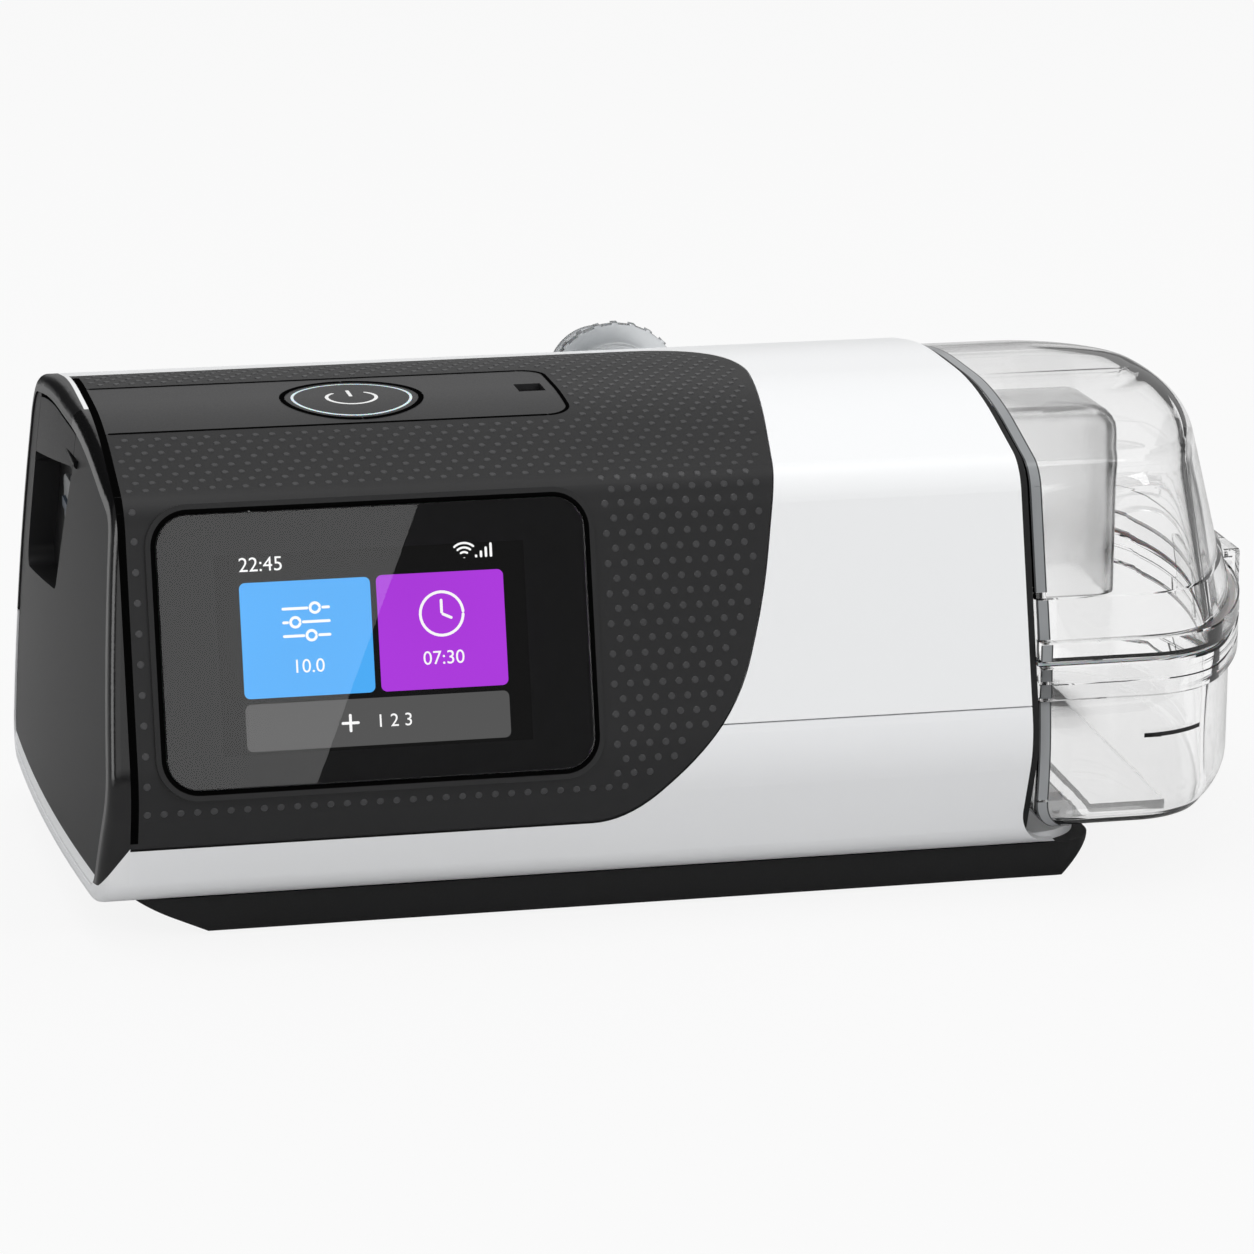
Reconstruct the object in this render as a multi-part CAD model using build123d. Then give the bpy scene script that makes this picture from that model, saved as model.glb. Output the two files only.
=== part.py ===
from build123d import *
import math
import os

# Bedside CPAP machine with a clear water tub docked at its right end.
# Millimetres. +X right, +Y to the back, +Z up; the origin is under the middle of the bounding box.

# ---- driving dimensions -------------------------------------------------------------------
HALF_WIDTH = 129.7  # half of the overall width, side dome to tub latch
CASE_LEFT = -117.3  # where the long case ends and the domed side begins
CASE_RIGHT = 66.0  # end of the white case, where the tub dock begins
SEAM = 41.2  # height of the seam between upper and lower case
WALL = 2.4  # wall of the case mouldings
SEAM_GAP = 0.3  # gap between neighbouring cover parts
SIDE_DOME_R = 864.0  # radius of the domed left side
SIDE_DOME_Y = 39.4  # where the dome stands out furthest, seen from the left
SIDE_DOME_Z = -22.4
DOME_BEYOND = 0.54  # the ball's own tip lies below the case, so it stands this far outside the width
RIM = 3.6  # width of the rim round the side cover
BASE_TOP = 8.0  # underside of the white case, on top of the black base
FAR = 200.0  # further than any face, for cutting tools that have to reach right through

# Case cross-section seen from the left, corners (y, z) and their rounding radii
CASE_CORNERS = [
    (-60.2, 8.0), (-70.5, 33.5), (-55.6, 88.6), (-22.0, 98.2), (20.0, 98.0), (50.5, 92.8), (50.5, 8.0)
]
CASE_RADII = [9.0, 18.0, 9.5, 110.0, 150.0, 10.0, 10.0]
CASE_REAR = 50.5

SCREEN_SIZE = (85.6, 54.2)  # glass, along X and up the sloping front
SCREEN_MIDDLE = (-67.4, 28.1)  # X, and distance up the front from the outline's second corner
SCREEN_R = 6.5
LCD_SIZE = (68.0, 46.0, 2.4)

STRIP = (-26.0, 8.5, -20.5)  # control strip: front y, rear y, right end x
BUTTON = (-63.3, -9.2)  # start button centre
BUTTON_R = 13.9
SENSOR = (-25.7, -7.5)  # light sensor's window in the strip

BLOWER = (-70.0, 2.0)  # blower axis
BLOWER_SPLIT = 33.0  # height of the joint between the blower's halves
OUTLET = (5.0, 82.6)  # X and Z of the air outlet axis
OUTLET_END = 71.24  # rear end of the outlet, as far behind the origin as the screen lip is in front
OUTLET_PIN_R = 11.0  # 22 mm hose connector
OUTLET_BORE_R = 9.0
DRY_PORT = (-6.0, 80.0)  # Y and Z of the air port into the tub
HUMID_PORT = (22.0, 78.0)  # Y and Z of the air port back from the tub
PORT_R = 7.6
DUCT_WALL = 1.2

TUB_LEFT = 68.0  # left wall of the tub
TUB_FRONT = -64.4
TUB_REAR = 48.4
TUB_END = 125.5  # where the bowed right end stands out furthest, at y = 0
END_BOW_R = 100.0  # plan radius of the bowed right end
CORNER_R = 20.0  # plan radius of the tub's front and rear corners at the right
TUB_WALL = 2.0
TUB_FLOOR = 12.8
TUCK_R = 7.0  # radius where the tub's walls turn into its floor
BELLY = 2.1  # how far the tub's front swells between floor and lid
FLANGE = 1.8  # how far the flanges stand out of the tub wall
LID_SPLIT = 49.1  # height of the joint between tub base and lid
LID_INSET = 1.6  # how far the lid's section lies inside the case's
LID_LEAN = 0.24  # how far the lid's end leans in, for each millimetre up
SKIRT_TOP = 61.7  # the lid's lower band ends here in a small step
SKIRT_STEP = 0.8
HINGE = (53.4, 49.1)  # lid hinge axis, Y and Z
LATCH_HALF = 10.0  # half of the latch's width
LATCH_PIVOT = (128.9, 42.6)  # X and Z
EXTENSION = (12.0, 70.0, -46.0, 36.0, 16.0, 36.5)  # the tub's heated foot inside the case

PARTS = {}


# ---- helpers -------------------------------------------------------------------------------
def block(x0, x1, y0, y1, z0, z1):
    """Box between two corners."""
    return Pos((x0 + x1) / 2, (y0 + y1) / 2, (z0 + z1) / 2) * Box(x1 - x0, y1 - y0, z1 - z0)


def rod(x, y, z0, z1, r):
    """Upright round bar."""
    return Pos(x, y, (z0 + z1) / 2) * Cylinder(r, z1 - z0)


def rod_x(x0, x1, y, z, r):
    """Round bar along X."""
    return Pos((x0 + x1) / 2, y, z) * Rot(0, 90, 0) * Cylinder(r, x1 - x0)


def rod_y(x, y0, y1, z, r):
    """Round bar along Y."""
    return Pos(x, (y0 + y1) / 2, z) * Rot(90, 0, 0) * Cylinder(r, y1 - y0)


def inset_corners(corners, inset):
    """Corners of a clockwise outline whose straight sides all lie inset further in."""
    moved = []
    for i, (y, z) in enumerate(corners):
        before = corners[i - 1]
        after = corners[(i + 1) % len(corners)]
        side_in = math.atan2(z - before[1], y - before[0])
        side_out = math.atan2(after[1] - z, after[0] - y)
        middle = (side_in + side_out) / 2
        if abs(side_in - side_out) >= math.pi:
            middle += math.pi
        reach = inset / math.cos(middle - side_in)
        moved.append((y + reach * math.sin(middle), z - reach * math.cos(middle)))
    return moved


def rounded(corners, radii):
    """Face inside straight sides that are joined by arcs."""
    return make_face(FilletPolyline(*corners, radius=radii, close=True))


def case_face(inset=0.0):
    """Cross-section of the case, inset evenly all round."""
    return rounded(inset_corners(CASE_CORNERS, inset), [max(r - inset, 1.0) for r in CASE_RADII])


def case_slab(inset, x0, x1):
    """Solid slice of the case, inset all round."""
    return extrude(Plane.YZ.offset(x0) * case_face(inset), amount=x1 - x0)


def case_shell(inset, wall, x0, x1):
    """Open-ended tube with the case's cross-section."""
    return case_slab(inset, x0, x1) - case_slab(inset + wall, x0 - 1, x1 + 1)


def side_zone(corners, radii, x0, x1):
    """Outline (y, z) seen from the left, carried along X."""
    return extrude(Plane.YZ.offset(x0) * rounded(corners, radii), amount=x1 - x0)


def dome(depth):
    """Ball whose surface is the domed left side, moved in by depth."""
    middle = Pos(SIDE_DOME_R - HALF_WIDTH - DOME_BEYOND, SIDE_DOME_Y, SIDE_DOME_Z)
    return middle * Sphere(SIDE_DOME_R - depth)


def dome_slab(inset, depth, thick):
    """Slice of the left end that follows the dome."""
    return (case_slab(inset, -135, CASE_LEFT) & dome(depth)) - dome(depth + thick)


def front_plane(depth=0.0):
    """Plane of the sloping front; +Z points out of the case, depth moves it in."""
    (y1, z1), (y2, z2) = CASE_CORNERS[1], CASE_CORNERS[2]
    length = math.hypot(y2 - y1, z2 - z1)
    out = Vector(0, -(z2 - z1) / length, (y2 - y1) / length)
    foot = Vector(0, y1, z1) - out * depth
    return Plane(origin=foot, x_dir=(1, 0, 0), z_dir=out)


def front_block(width, height, r, depth, thick, middle=SCREEN_MIDDLE):
    """Rounded plate on the sloping front, its outer face depth below the front."""
    sketch = Pos(*middle) * RectangleRounded(width, height, r)
    return extrude(front_plane(depth + thick) * sketch, amount=thick)


def tube_along(points, radii, r_outer, r_inner):
    """Round tube along straight runs joined by arcs, and its bore."""
    path = FilletPolyline(*points, radius=radii)
    start = Plane(origin=path @ 0, z_dir=path % 0)
    return sweep(start * Circle(r_outer), path=path) - sweep(start * Circle(r_inner), path=path)


def save(name, shape):
    """Keep one node's solids under its name."""
    PARTS[name] = shape


# ---- left side: rim and door zones ----------------------------------------------------------
POCKET_DEPTH = 5.5
POCKET_CORNERS = [(-6.0, 59.5), (-12.8, 85.3), (36.2, 77.3), (36.2, 54.2)]
POCKET_RADII = [2.5, 1.0, 1.0, 4.0]
POCKET_WALL = 1.6
DOOR_CORNERS = [(-13.0, 85.2), (-13.0, 120.0), (36.5, 120.0), (36.5, 77.0)]
DOOR_TOP_GAP = 0.9  # the door's upper edge turns inwards past the rim, so it needs this much room
DOOR_PIN = (-120.8, 88.5, 0.8)  # X, Z and radius of the door's hinge pin
DOOR_PIN_ENDS = (-18.0, 41.0)
SKIN = (0.35, 2.2)  # depth and thickness of the side cover's skin
DARK_CORNERS = [(-90, 17.0), (-90, 120), (-12, 120), (-6, 60), (-50, 12.0)]  # black share of the end ring
END_FILLET = 2.4

end_block = case_slab(0, -135, CASE_LEFT) & dome(0)
end_edges = [edge for edge in end_block.edges() if edge.bounding_box().max.X < CASE_LEFT - 1]
end_ring = fillet(end_edges, END_FILLET) - case_slab(RIM, -135, CASE_LEFT + 1)
dark_zone = side_zone(DARK_CORNERS, [1] * 5, -140, -100)
door_zone = side_zone(inset_corners(DOOR_CORNERS, SEAM_GAP / 2), [0.5] * 4, -140, -110)
door_gap = side_zone(inset_corners(DOOR_CORNERS, -SEAM_GAP / 2), [0.5] * 4, -140, -110)
pin_x, pin_z, pin_r = DOOR_PIN
door_pin_bore = rod_y(pin_x, DOOR_PIN_ENDS[0] - 0.3, DOOR_PIN_ENDS[1] + 0.3, pin_z, pin_r + 0.05)

# ---- left side: side cover with its finger pocket, filter door --------------------------------
pocket_hole = side_zone(POCKET_CORNERS, POCKET_RADII, -140, -100)
pocket_outside = side_zone(
    inset_corners(POCKET_CORNERS, -POCKET_WALL), [r + POCKET_WALL for r in POCKET_RADII], -140, -100
)
skin = dome_slab(RIM + 0.25, *SKIN)
cup = dome_slab(RIM + 0.25, SKIN[0], POCKET_DEPTH + POCKET_WALL) & pocket_outside
cup -= pocket_hole - dome(SKIN[0] + POCKET_DEPTH)
# two lugs behind the skin hold the ends of the pin
lugs = [block(-122, -118.2, y, y + 4.0, 85.5, 90.0) & dome(0.5) for y in (-18.4, 37.2)]

CARD = (7.5, 72.0, 24.0, 2.1)  # Y, Z, width and thickness of the memory card
CARD_ROOM = 0.2
card_y, card_z, card_width, card_thick = CARD
card_slot = block(
    -140, -80,
    card_y - card_width / 2 - CARD_ROOM, card_y + card_width / 2 + CARD_ROOM,
    card_z - card_thick / 2 - CARD_ROOM, card_z + card_thick / 2 + CARD_ROOM,
)
door_skin = dome_slab(RIM + DOOR_TOP_GAP, *SKIN)
save("filter_cover", ((door_skin & door_zone) - pocket_outside) - door_pin_bore)
save("filter_cover_pin", rod_y(pin_x, *DOOR_PIN_ENDS, pin_z, pin_r))
save("side_cover", ((skin - pocket_hole + cup) - door_gap - card_slot + lugs) - door_pin_bore)
save("end_rim", end_ring & dark_zone)

# ---- left side: memory card, its bezel and socket, air filter ---------------------------------
POCKET_FLOOR_X = -123.9 + POCKET_DEPTH
bezel_plate = extrude(RectangleRounded(11.5, 28.0, 2.5), amount=1.0, both=True)
bezel = (Pos(POCKET_FLOOR_X - 0.3, card_y, card_z) * Rot(0, 90, 0) * bezel_plate) & dome(POCKET_DEPTH - 0.9)
save("card_slot_bezel", bezel - dome(SKIN[0] + POCKET_DEPTH) - card_slot)
save("memory_card", block(
    -120.3, -88.5,
    card_y - card_width / 2, card_y + card_width / 2, card_z - card_thick / 2, card_z + card_thick / 2,
))
save("card_socket", block(-116.0, -86.0, card_y - 14, card_y + 14, card_z - 3, card_z + 3) - card_slot)
save("air_filter", block(-114.8, -110.0, -7.0, 36.0, 78.0, 87.3))

# ---- case ------------------------------------------------------------------------------------
FASCIA_CORNERS = [(-140.0, 87.6), (25.7, 90.6), (11.3, 3.0), (0.3, -31.0), (-140.0, -31.0)]
FASCIA_RADII = [1.0, 20.0, 100.0, 34.0, 1.0]


def fascia_zone(grow=0.0):
    """Fascia outline, seen along a line halfway between the front and the top."""
    lean = Plane(origin=(0, 0, 0), x_dir=(1, 0, 0), z_dir=(0, -1, 1))
    corners = inset_corners(FASCIA_CORNERS, -grow)
    zone = extrude(lean.offset(40) * rounded(corners, [max(r + grow, 1.0) for r in FASCIA_RADII]), amount=100)
    return zone & block(-150, 50, -100, 60, 15, 120)


shell = case_shell(0, WALL, CASE_LEFT, CASE_RIGHT)
ledge = (case_shell(WALL, 1.8, CASE_LEFT, 62) & fascia_zone(3)) - fascia_zone(-5)
white_shell = (shell - fascia_zone(SEAM_GAP)) + ledge + (end_ring - dark_zone)
above_seam = block(-FAR, FAR, -FAR, FAR, SEAM + SEAM_GAP / 2, FAR)
below_seam = block(-FAR, FAR, -FAR, FAR, -50, SEAM - SEAM_GAP / 2)

# ---- upper case ------------------------------------------------------------------------------
DUCT_R = PORT_R + DUCT_WALL
BOSS_R = 14.0  # boss in the rear wall that holds the outlet, flush with the case outside
SEAT_R = 12.0  # its seat for the outlet's collar
outlet_x, outlet_z = OUTLET
outlet_boss = rod_y(outlet_x, 38.5, CASE_REAR, outlet_z, BOSS_R) & case_slab(0, outlet_x - 20, outlet_x + 20)
outlet_hole = rod_y(outlet_x, 29, 60, outlet_z, DUCT_R + 0.35) + rod_y(outlet_x, 45.5, 60, outlet_z, SEAT_R)
vent_slots = [block(x - 1.2, x + 1.2, 40, 60, 52, 66) for x in range(-100, -55, 6)]
save("upper_case", (white_shell & above_seam) + outlet_boss - outlet_hole - vent_slots - door_pin_bore)

# ---- lower case ------------------------------------------------------------------------------
DOCK_R = 9.0  # concave corner where the white case runs out under the tub
SOCKET = (-88.0, 27.5, 16.0, 13.0)  # power socket: X, Z, width and height of its mouth
SCREWS = [(-104.0, -40.0), (-104.0, 36.0), (-10.0, -46.0), (2.0, 36.0)]
BOSS_OUT_R = 4.2  # screw boss
SCREW_R = 1.6
tongue = block(60, 82.5, -55, 43, BASE_TOP, BASE_TOP + 1.8)
tongue = fillet(tongue.edges().filter_by(Axis.Z).group_by(Axis.X)[-1], 12)
corner_end = CASE_RIGHT + DOCK_R
flare = case_shell(0, WALL, CASE_RIGHT - 0.1, corner_end) & block(60, 90, -70, 60, 0, BASE_TOP + DOCK_R)
flare -= rod_y(corner_end, -80, 80, BASE_TOP + DOCK_R + 0.6, DOCK_R)
socket_x, socket_z, mouth_width, mouth_height = SOCKET
socket_hole = block(socket_x - 10, socket_x + 10, 44, 60, socket_z - 8.5, socket_z + 8.5)
bosses = [rod(x, y, BASE_TOP + 1, 30, BOSS_OUT_R) for x, y in SCREWS]
screw_holes = [rod(x, y, 0, 24, SCREW_R) for x, y in SCREWS]
save("lower_case", ((white_shell & below_seam) + tongue + flare + bosses) - screw_holes - socket_hole)

# ---- base pan: black tray under the white case, its ends sloping outwards ---------------------
PAN_MIDDLE = (-16.25, -6.0)
FEET = [(x, y) for x in (-88.0, 62.0) for y in (-42.0, 30.0)]
FOOT_R = 6.0
FOOT_HEIGHT = 1.6
pan_side = make_face(Polyline((-117.0, BASE_TOP), (-101.0, 0.8), (77.0, 0.8), (84.5, BASE_TOP), close=True))
pan_plan = Pos(*PAN_MIDDLE, 0) * RectangleRounded(201.5, 101, 9)
pan_block = extrude(Plane.XZ.offset(60) * pan_side, amount=-120) & extrude(pan_plan, amount=20)
pan_hollow = extrude(Pos(*PAN_MIDDLE, 3.0) * RectangleRounded(172, 92, 18), amount=20)
foot_pockets = [rod(x, y, 0, FOOT_HEIGHT, FOOT_R + 0.1) for x, y in FEET]
pan_screws = [rod(x, y, 0, 9, SCREW_R) + rod(x, y, 0, 2.2, 3.2) for x, y in SCREWS]
screw_posts = [rod(x, y, 1.0, BASE_TOP, BOSS_OUT_R) for x, y in SCREWS]
save("base_pan", (pan_block - pan_hollow + screw_posts) - foot_pockets - pan_screws)
save("rubber_feet", Part() + [rod(x, y, 0, FOOT_HEIGHT, FOOT_R) for x, y in FEET])
save("case_screws", Part() + [rod(x, y, 1.1, 2.2, 3.0) + rod(x, y, 2.2, 22, 1.5) for x, y in SCREWS])

# ---- front fascia with the screen's lip ---------------------------------------------------------
LIP = 2.0  # raised lip round the screen
LIP_HEIGHT = 0.5
SCREEN_ROOM = 0.4  # gap between the glass and the lip


def strip_zone(grow):
    """Control strip's outline from above, grown evenly."""
    front, rear, end = STRIP
    outline = RectangleRounded(end + 140 + 2 * grow, rear - front + 2 * grow, 5 + max(grow, -3))
    return Pos((end - 140) / 2, (front + rear) / 2, 80) * extrude(outline, amount=30)


glass_width, glass_height = SCREEN_SIZE
fascia_shell = (shell & fascia_zone(0)) - strip_zone(SEAM_GAP)
screen_hole = front_block(
    glass_width + 2 * SCREEN_ROOM, glass_height + 2 * SCREEN_ROOM, SCREEN_R + SCREEN_ROOM, -5, 14
)
lip = front_block(
    glass_width + 2 * LIP, glass_height + 2 * LIP, SCREEN_R + LIP, -LIP_HEIGHT, LIP_HEIGHT + WALL
)
strip_ledge = case_shell(WALL, 1.4, CASE_LEFT, 20) & (strip_zone(2.5) - strip_zone(-2))
save("front_fascia", fascia_shell + lip + strip_ledge - screen_hole)

# ---- control strip, light sensor window, start button with its light ring ------------------------
button_x, button_y = BUTTON
sensor_x, sensor_y = SENSOR
button_zone = rod(button_x, button_y, 80, 110, BUTTON_R)
button_gap = rod(button_x, button_y, 80, 110, BUTTON_R + 0.3)
sensor_hole = block(sensor_x - 2.8, sensor_x + 2.8, sensor_y - 3.3, sensor_y + 3.3, 90, 110)
strip_shell = case_shell(0.05, WALL - 0.05, CASE_LEFT, 0) & strip_zone(0)
save("control_strip", strip_shell - button_gap - sensor_hole)
save("light_sensor_window", (case_shell(1.2, 1.1, -40, 0) & sensor_hole) - block(-40, 0, -20, 20, 0, 94))
upper_half = block(-90, -40, -60, 60, 90, 120)
light_ring = rod(button_x, button_y, 80, 110, 12.5) - rod(button_x, button_y, 79, 111, 11.9)
ring_part = case_shell(0.1, 0.9, -90, -40) & light_ring & upper_half
button_top = case_shell(0.1, 2.6, -90, -40) & button_zone & upper_half
button_stem = rod(button_x, button_y, 92.6, 96.2, 5)
save("start_button", button_top + button_stem - ring_part)
save("button_light_ring", ring_part)

# ---- screen: glass, gasket, display panel, display board -----------------------------------------
GLASS_PROUD = 0.8
GLASS_THICK = 1.8
lcd_width, lcd_height, lcd_thick = LCD_SIZE
glass_back = GLASS_THICK - GLASS_PROUD
gasket_hole = front_block(lcd_width + 1, lcd_height + 1, 1.0, glass_back - 1, 4)
save("screen_glass", front_block(glass_width, glass_height, SCREEN_R, -GLASS_PROUD, GLASS_THICK))
save("screen_gasket", front_block(glass_width, glass_height, SCREEN_R, glass_back, 1.6) - gasket_hole)
save("lcd_panel", front_block(lcd_width, lcd_height, 1.0, glass_back + 0.05, lcd_thick))
save("display_board", front_block(92.0, 52.0, 2.0, 6.4, 1.6) + front_block(30, 12, 0.5, 3.6, 3.0))

# ---- electronics: boards behind the strip and at the rear ----------------------------------------
control_board = block(-110, -22, -22, 6, 90.0, 91.6)
save("control_board", control_board + rod(button_x, button_y, 91.6, 91.75, 3))
chips = [block(-50 + i * 13, -42 + i * 13, 38, 44, 20, 34) for i in range(4)]
cans = [rod_y(-44 + i * 14, 34, 44, 54, 4.5) for i in range(3)]
save("main_board", block(-55, 2, 44, 45.6, 14, 68) + chips + cans)

# ---- power socket --------------------------------------------------------------------------------
SOCKET_FLOOR = 38.5  # y of the socket's inner end
socket_box = block(socket_x - 11, socket_x + 11, 36.5, 47.9, socket_z - 9.5, socket_z + 9.5)
socket_box += block(socket_x - 9.8, socket_x + 9.8, 47.9, 50.3, socket_z - 8.3, socket_z + 8.3)
mouth = block(
    socket_x - mouth_width / 2, socket_x + mouth_width / 2, SOCKET_FLOOR, 52,
    socket_z - mouth_height / 2, socket_z + mouth_height / 2,
)
contacts = [
    block(x - 1.2, x + 1.2, SOCKET_FLOOR, 46, socket_z - 0.5, socket_z + 0.5)
    for x in (socket_x - 5, socket_x, socket_x + 5)
]
save("power_socket", socket_box - mouth)
save("power_contacts", Part() + contacts)

# ---- blower: housing, motor, rotor, mounts, muffler ----------------------------------------------
BLOWER_R = 33.0
BLOWER_WALL = 2.0
SHAFT_R = 1.5
bx, by = BLOWER
nozzle_y = by + 21
housing = rod(bx, by, 14, 52, BLOWER_R) + rod_x(bx, -32, nozzle_y, BLOWER_SPLIT, 11)
hollow = rod(bx, by, 16, 50, BLOWER_R - BLOWER_WALL) + rod_x(bx, -31, nozzle_y, BLOWER_SPLIT, 9)
volute = housing - hollow - rod(bx, by, 45, 60, 12)
save("blower_lower", volute & block(-120, 0, -60, 60, 0, BLOWER_SPLIT))
save("blower_upper", volute & block(-120, 0, -60, 60, BLOWER_SPLIT, 60))
save("blower_motor", rod(bx, by, 16, 23, 15) - rod(bx, by, 15, 24, 3.2))
bearings = [rod(bx, by, z, z + 2.5, 3.2) - rod(bx, by, z - 1, z + 4, SHAFT_R + 0.05) for z in (16.5, 20)]
save("motor_bearings", Part() + bearings)
save("motor_shaft", rod(bx, by, 16.3, 38, SHAFT_R))
BLADES = 11
blades = [
    Pos(bx, by, 31) * Rot(0, 0, i * 360 / BLADES) * Pos(15.5, 0, 0) * Rot(0, 0, 35) * Box(17, 1.0, 11)
    for i in range(BLADES)
]
impeller = rod(bx, by, 24.5, 26, 26) + rod(bx, by, 24.5, 37, 5) + blades
save("impeller", impeller - rod(bx, by, 20, 40, SHAFT_R))
mount_turns = [math.radians(45 + i * 90) for i in range(4)]
save("blower_mounts", Part() + [
    rod(bx + 24 * math.cos(turn), by + 24 * math.sin(turn), 10.5, 14, 4) for turn in mount_turns
])
muffler = block(-109.9, -45, -14, 40, 76.2, 89) + rod(bx, by, 52, 77, 13)
muffler_space = block(-120, -46.6, -12.4, 38.4, 77.8, 87.4) + rod(bx, by, 50, 78, 11.4)
save("inlet_muffler", muffler - muffler_space)

# ---- air ducts and outlet ------------------------------------------------------------------------
dry_y, dry_z = DRY_PORT
humid_y, humid_z = HUMID_PORT
DUCT_END = 62.3
dry_route = [
    (-32, nozzle_y, BLOWER_SPLIT), (-14, nozzle_y, BLOWER_SPLIT), (30, dry_y, dry_z), (DUCT_END, dry_y, dry_z)
]
humid_route = [
    (DUCT_END, humid_y, humid_z), (outlet_x, humid_y, humid_z),
    (outlet_x, 36.5, outlet_z), (outlet_x, 45.4, outlet_z),
]
save("blower_duct", tube_along(dry_route, [18, 22], DUCT_R, PORT_R))
save("humid_air_duct", tube_along(humid_route, [12, 12], DUCT_R, PORT_R))
COLLAR = (51.0, 53.4)  # where the outlet's gripping collar starts and ends
COLLAR_R = 15.2
GRIPS = 24
grip_disc = Pos(outlet_x, sum(COLLAR) / 2, outlet_z)
grips = [
    grip_disc * Rot(0, i * 360 / GRIPS, 0) * Pos(COLLAR_R, 0, 0) * Box(0.8, COLLAR[1] - COLLAR[0], 1.4)
    for i in range(GRIPS)
]
outlet_pin = rod_y(outlet_x, 48.2, OUTLET_END, outlet_z, OUTLET_PIN_R)
outlet = outlet_pin + rod_y(outlet_x, *COLLAR, outlet_z, COLLAR_R)
save("outlet_connector", outlet + grips - rod_y(outlet_x, 40, 80, outlet_z, OUTLET_BORE_R))
collar_hole = rod_y(outlet_x, 40, 60, outlet_z, OUTLET_PIN_R + 0.06)
collar_ring = rod_y(outlet_x, 46.0, CASE_REAR, outlet_z, SEAT_R - 0.05)
collar_ring &= case_slab(0.2, outlet_x - 20, outlet_x + 20)
save("outlet_collar", collar_ring - collar_hole)

# ---- tub dock: bulkhead, port seals, tray, heater ------------------------------------------------
BULKHEAD_END = 67.0
ex0, ex1, ey0, ey1, ez0, ez1 = EXTENSION
bay_mouth = block(50, 80, ey0 - 2, ey1 + 2, 13.6, ez1 + 2)
bulkhead = case_slab(WALL + 0.15, 62.4, CASE_RIGHT) + case_slab(0.9, CASE_RIGHT, BULKHEAD_END)
bulkhead += case_shell(0.9, 2.6, CASE_RIGHT, TUB_LEFT - 0.4)
bulkhead -= block(60, 90, -80, 80, 0, BASE_TOP + 1.9)
ports = rod_x(55, 80, dry_y, dry_z, PORT_R) + rod_x(55, 80, humid_y, humid_z, PORT_R)
save("dock_bulkhead", bulkhead - bay_mouth - ports - flare)
seals = [
    rod_x(BULKHEAD_END + 0.05, TUB_LEFT - 0.3, y, z, 10) - rod_x(60, 80, y, z, PORT_R)
    for y, z in (DRY_PORT, HUMID_PORT)
]
save("dock_seals", Part() + seals)
tray = block(ex0 - 3.5, DUCT_END, ey0 - 4, ey1 + 4, BASE_TOP + WALL + 0.05, ez1 + 4)
save("dock_tray", tray - block(ex0 - 2, 70, ey0 - 2.4, ey1 + 2.4, 11.6, ez1 + 2.4))
heater = block(20, 56, -34, 26, 13.6, 14.9)
save("heater_plate", fillet(heater.edges().filter_by(Axis.Z), 4))
save("heater_pads", Part() + [rod(x, y, 11.6, 13.6, 3.5) for x in (26, 50) for y in (-27, 19)])


# ---- water tub: outlines -------------------------------------------------------------------------
def tub_outline(z, left, front, rear, end_r, corner_r):
    """Face at height z: straight left, front and rear, a bowed right end, and rounded right corners."""
    bow_x = TUB_END - END_BOW_R
    reach = end_r - corner_r
    front_y = front + corner_r
    rear_y = rear - corner_r
    front_x = bow_x + math.sqrt(reach**2 - front_y**2)
    rear_x = bow_x + math.sqrt(reach**2 - rear_y**2)
    front_turn = math.degrees(math.atan2(front_y, front_x - bow_x))
    rear_turn = math.degrees(math.atan2(rear_y, rear_x - bow_x))
    return Pos(0, 0, z) * make_face([
        Line((left, front), (front_x, front)),
        CenterArc((front_x, front_y), corner_r, -90, front_turn + 90),
        CenterArc((bow_x, 0), end_r, front_turn, rear_turn - front_turn),
        CenterArc((rear_x, rear_y), corner_r, rear_turn, 90 - rear_turn),
        Line((rear_x, rear), (left, rear)),
        Line((left, rear), (left, front)),
    ])


def base_face(z, grow=0.0, left=TUB_LEFT):
    """Outline of the tub's base at height z, grown outwards by grow except at the left."""
    rise = min((z - TUB_FLOOR) / TUCK_R, 1.0)
    tuck = TUCK_R * (1 - math.sqrt(1 - (1 - rise) ** 2))
    belly = BELLY * math.sin(math.pi * min((z - TUB_FLOOR) / 36.0, 1.0))
    out = grow - tuck
    front = TUB_FRONT - belly - out
    return tub_outline(z, left + tuck, front, TUB_REAR + out, END_BOW_R + out, CORNER_R + out)


def case_span(z, inset):
    """Front and rear y of the case's inset section at height z."""
    cut = case_face(inset) & Line((-FAR, z), (FAR, z))
    ends = cut.bounding_box()
    return ends.min.X, ends.max.X


LID_TOP = 98.1  # highest point of the case's section
LID_TOP_R = 10.0  # radius between the lid's leaning end and its top


def lid_face(z, grow, left):
    """Outline of the lid at height z: as deep as the case there, its end leaning and rounded at the top."""
    front, rear = case_span(z, LID_INSET - grow)
    crown = LID_TOP - LID_INSET + grow
    into_top = min(max(z - crown + LID_TOP_R, 0) / LID_TOP_R, 1.0)
    drop = LID_TOP_R * (1 - math.sqrt(1 - into_top**2))
    end_r = END_BOW_R + grow - LID_LEAN * (z - LID_SPLIT) - drop
    corner_r = min(CORNER_R + grow, 0.42 * (rear - front))
    return tub_outline(z, left, front, rear, end_r, corner_r)


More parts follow.
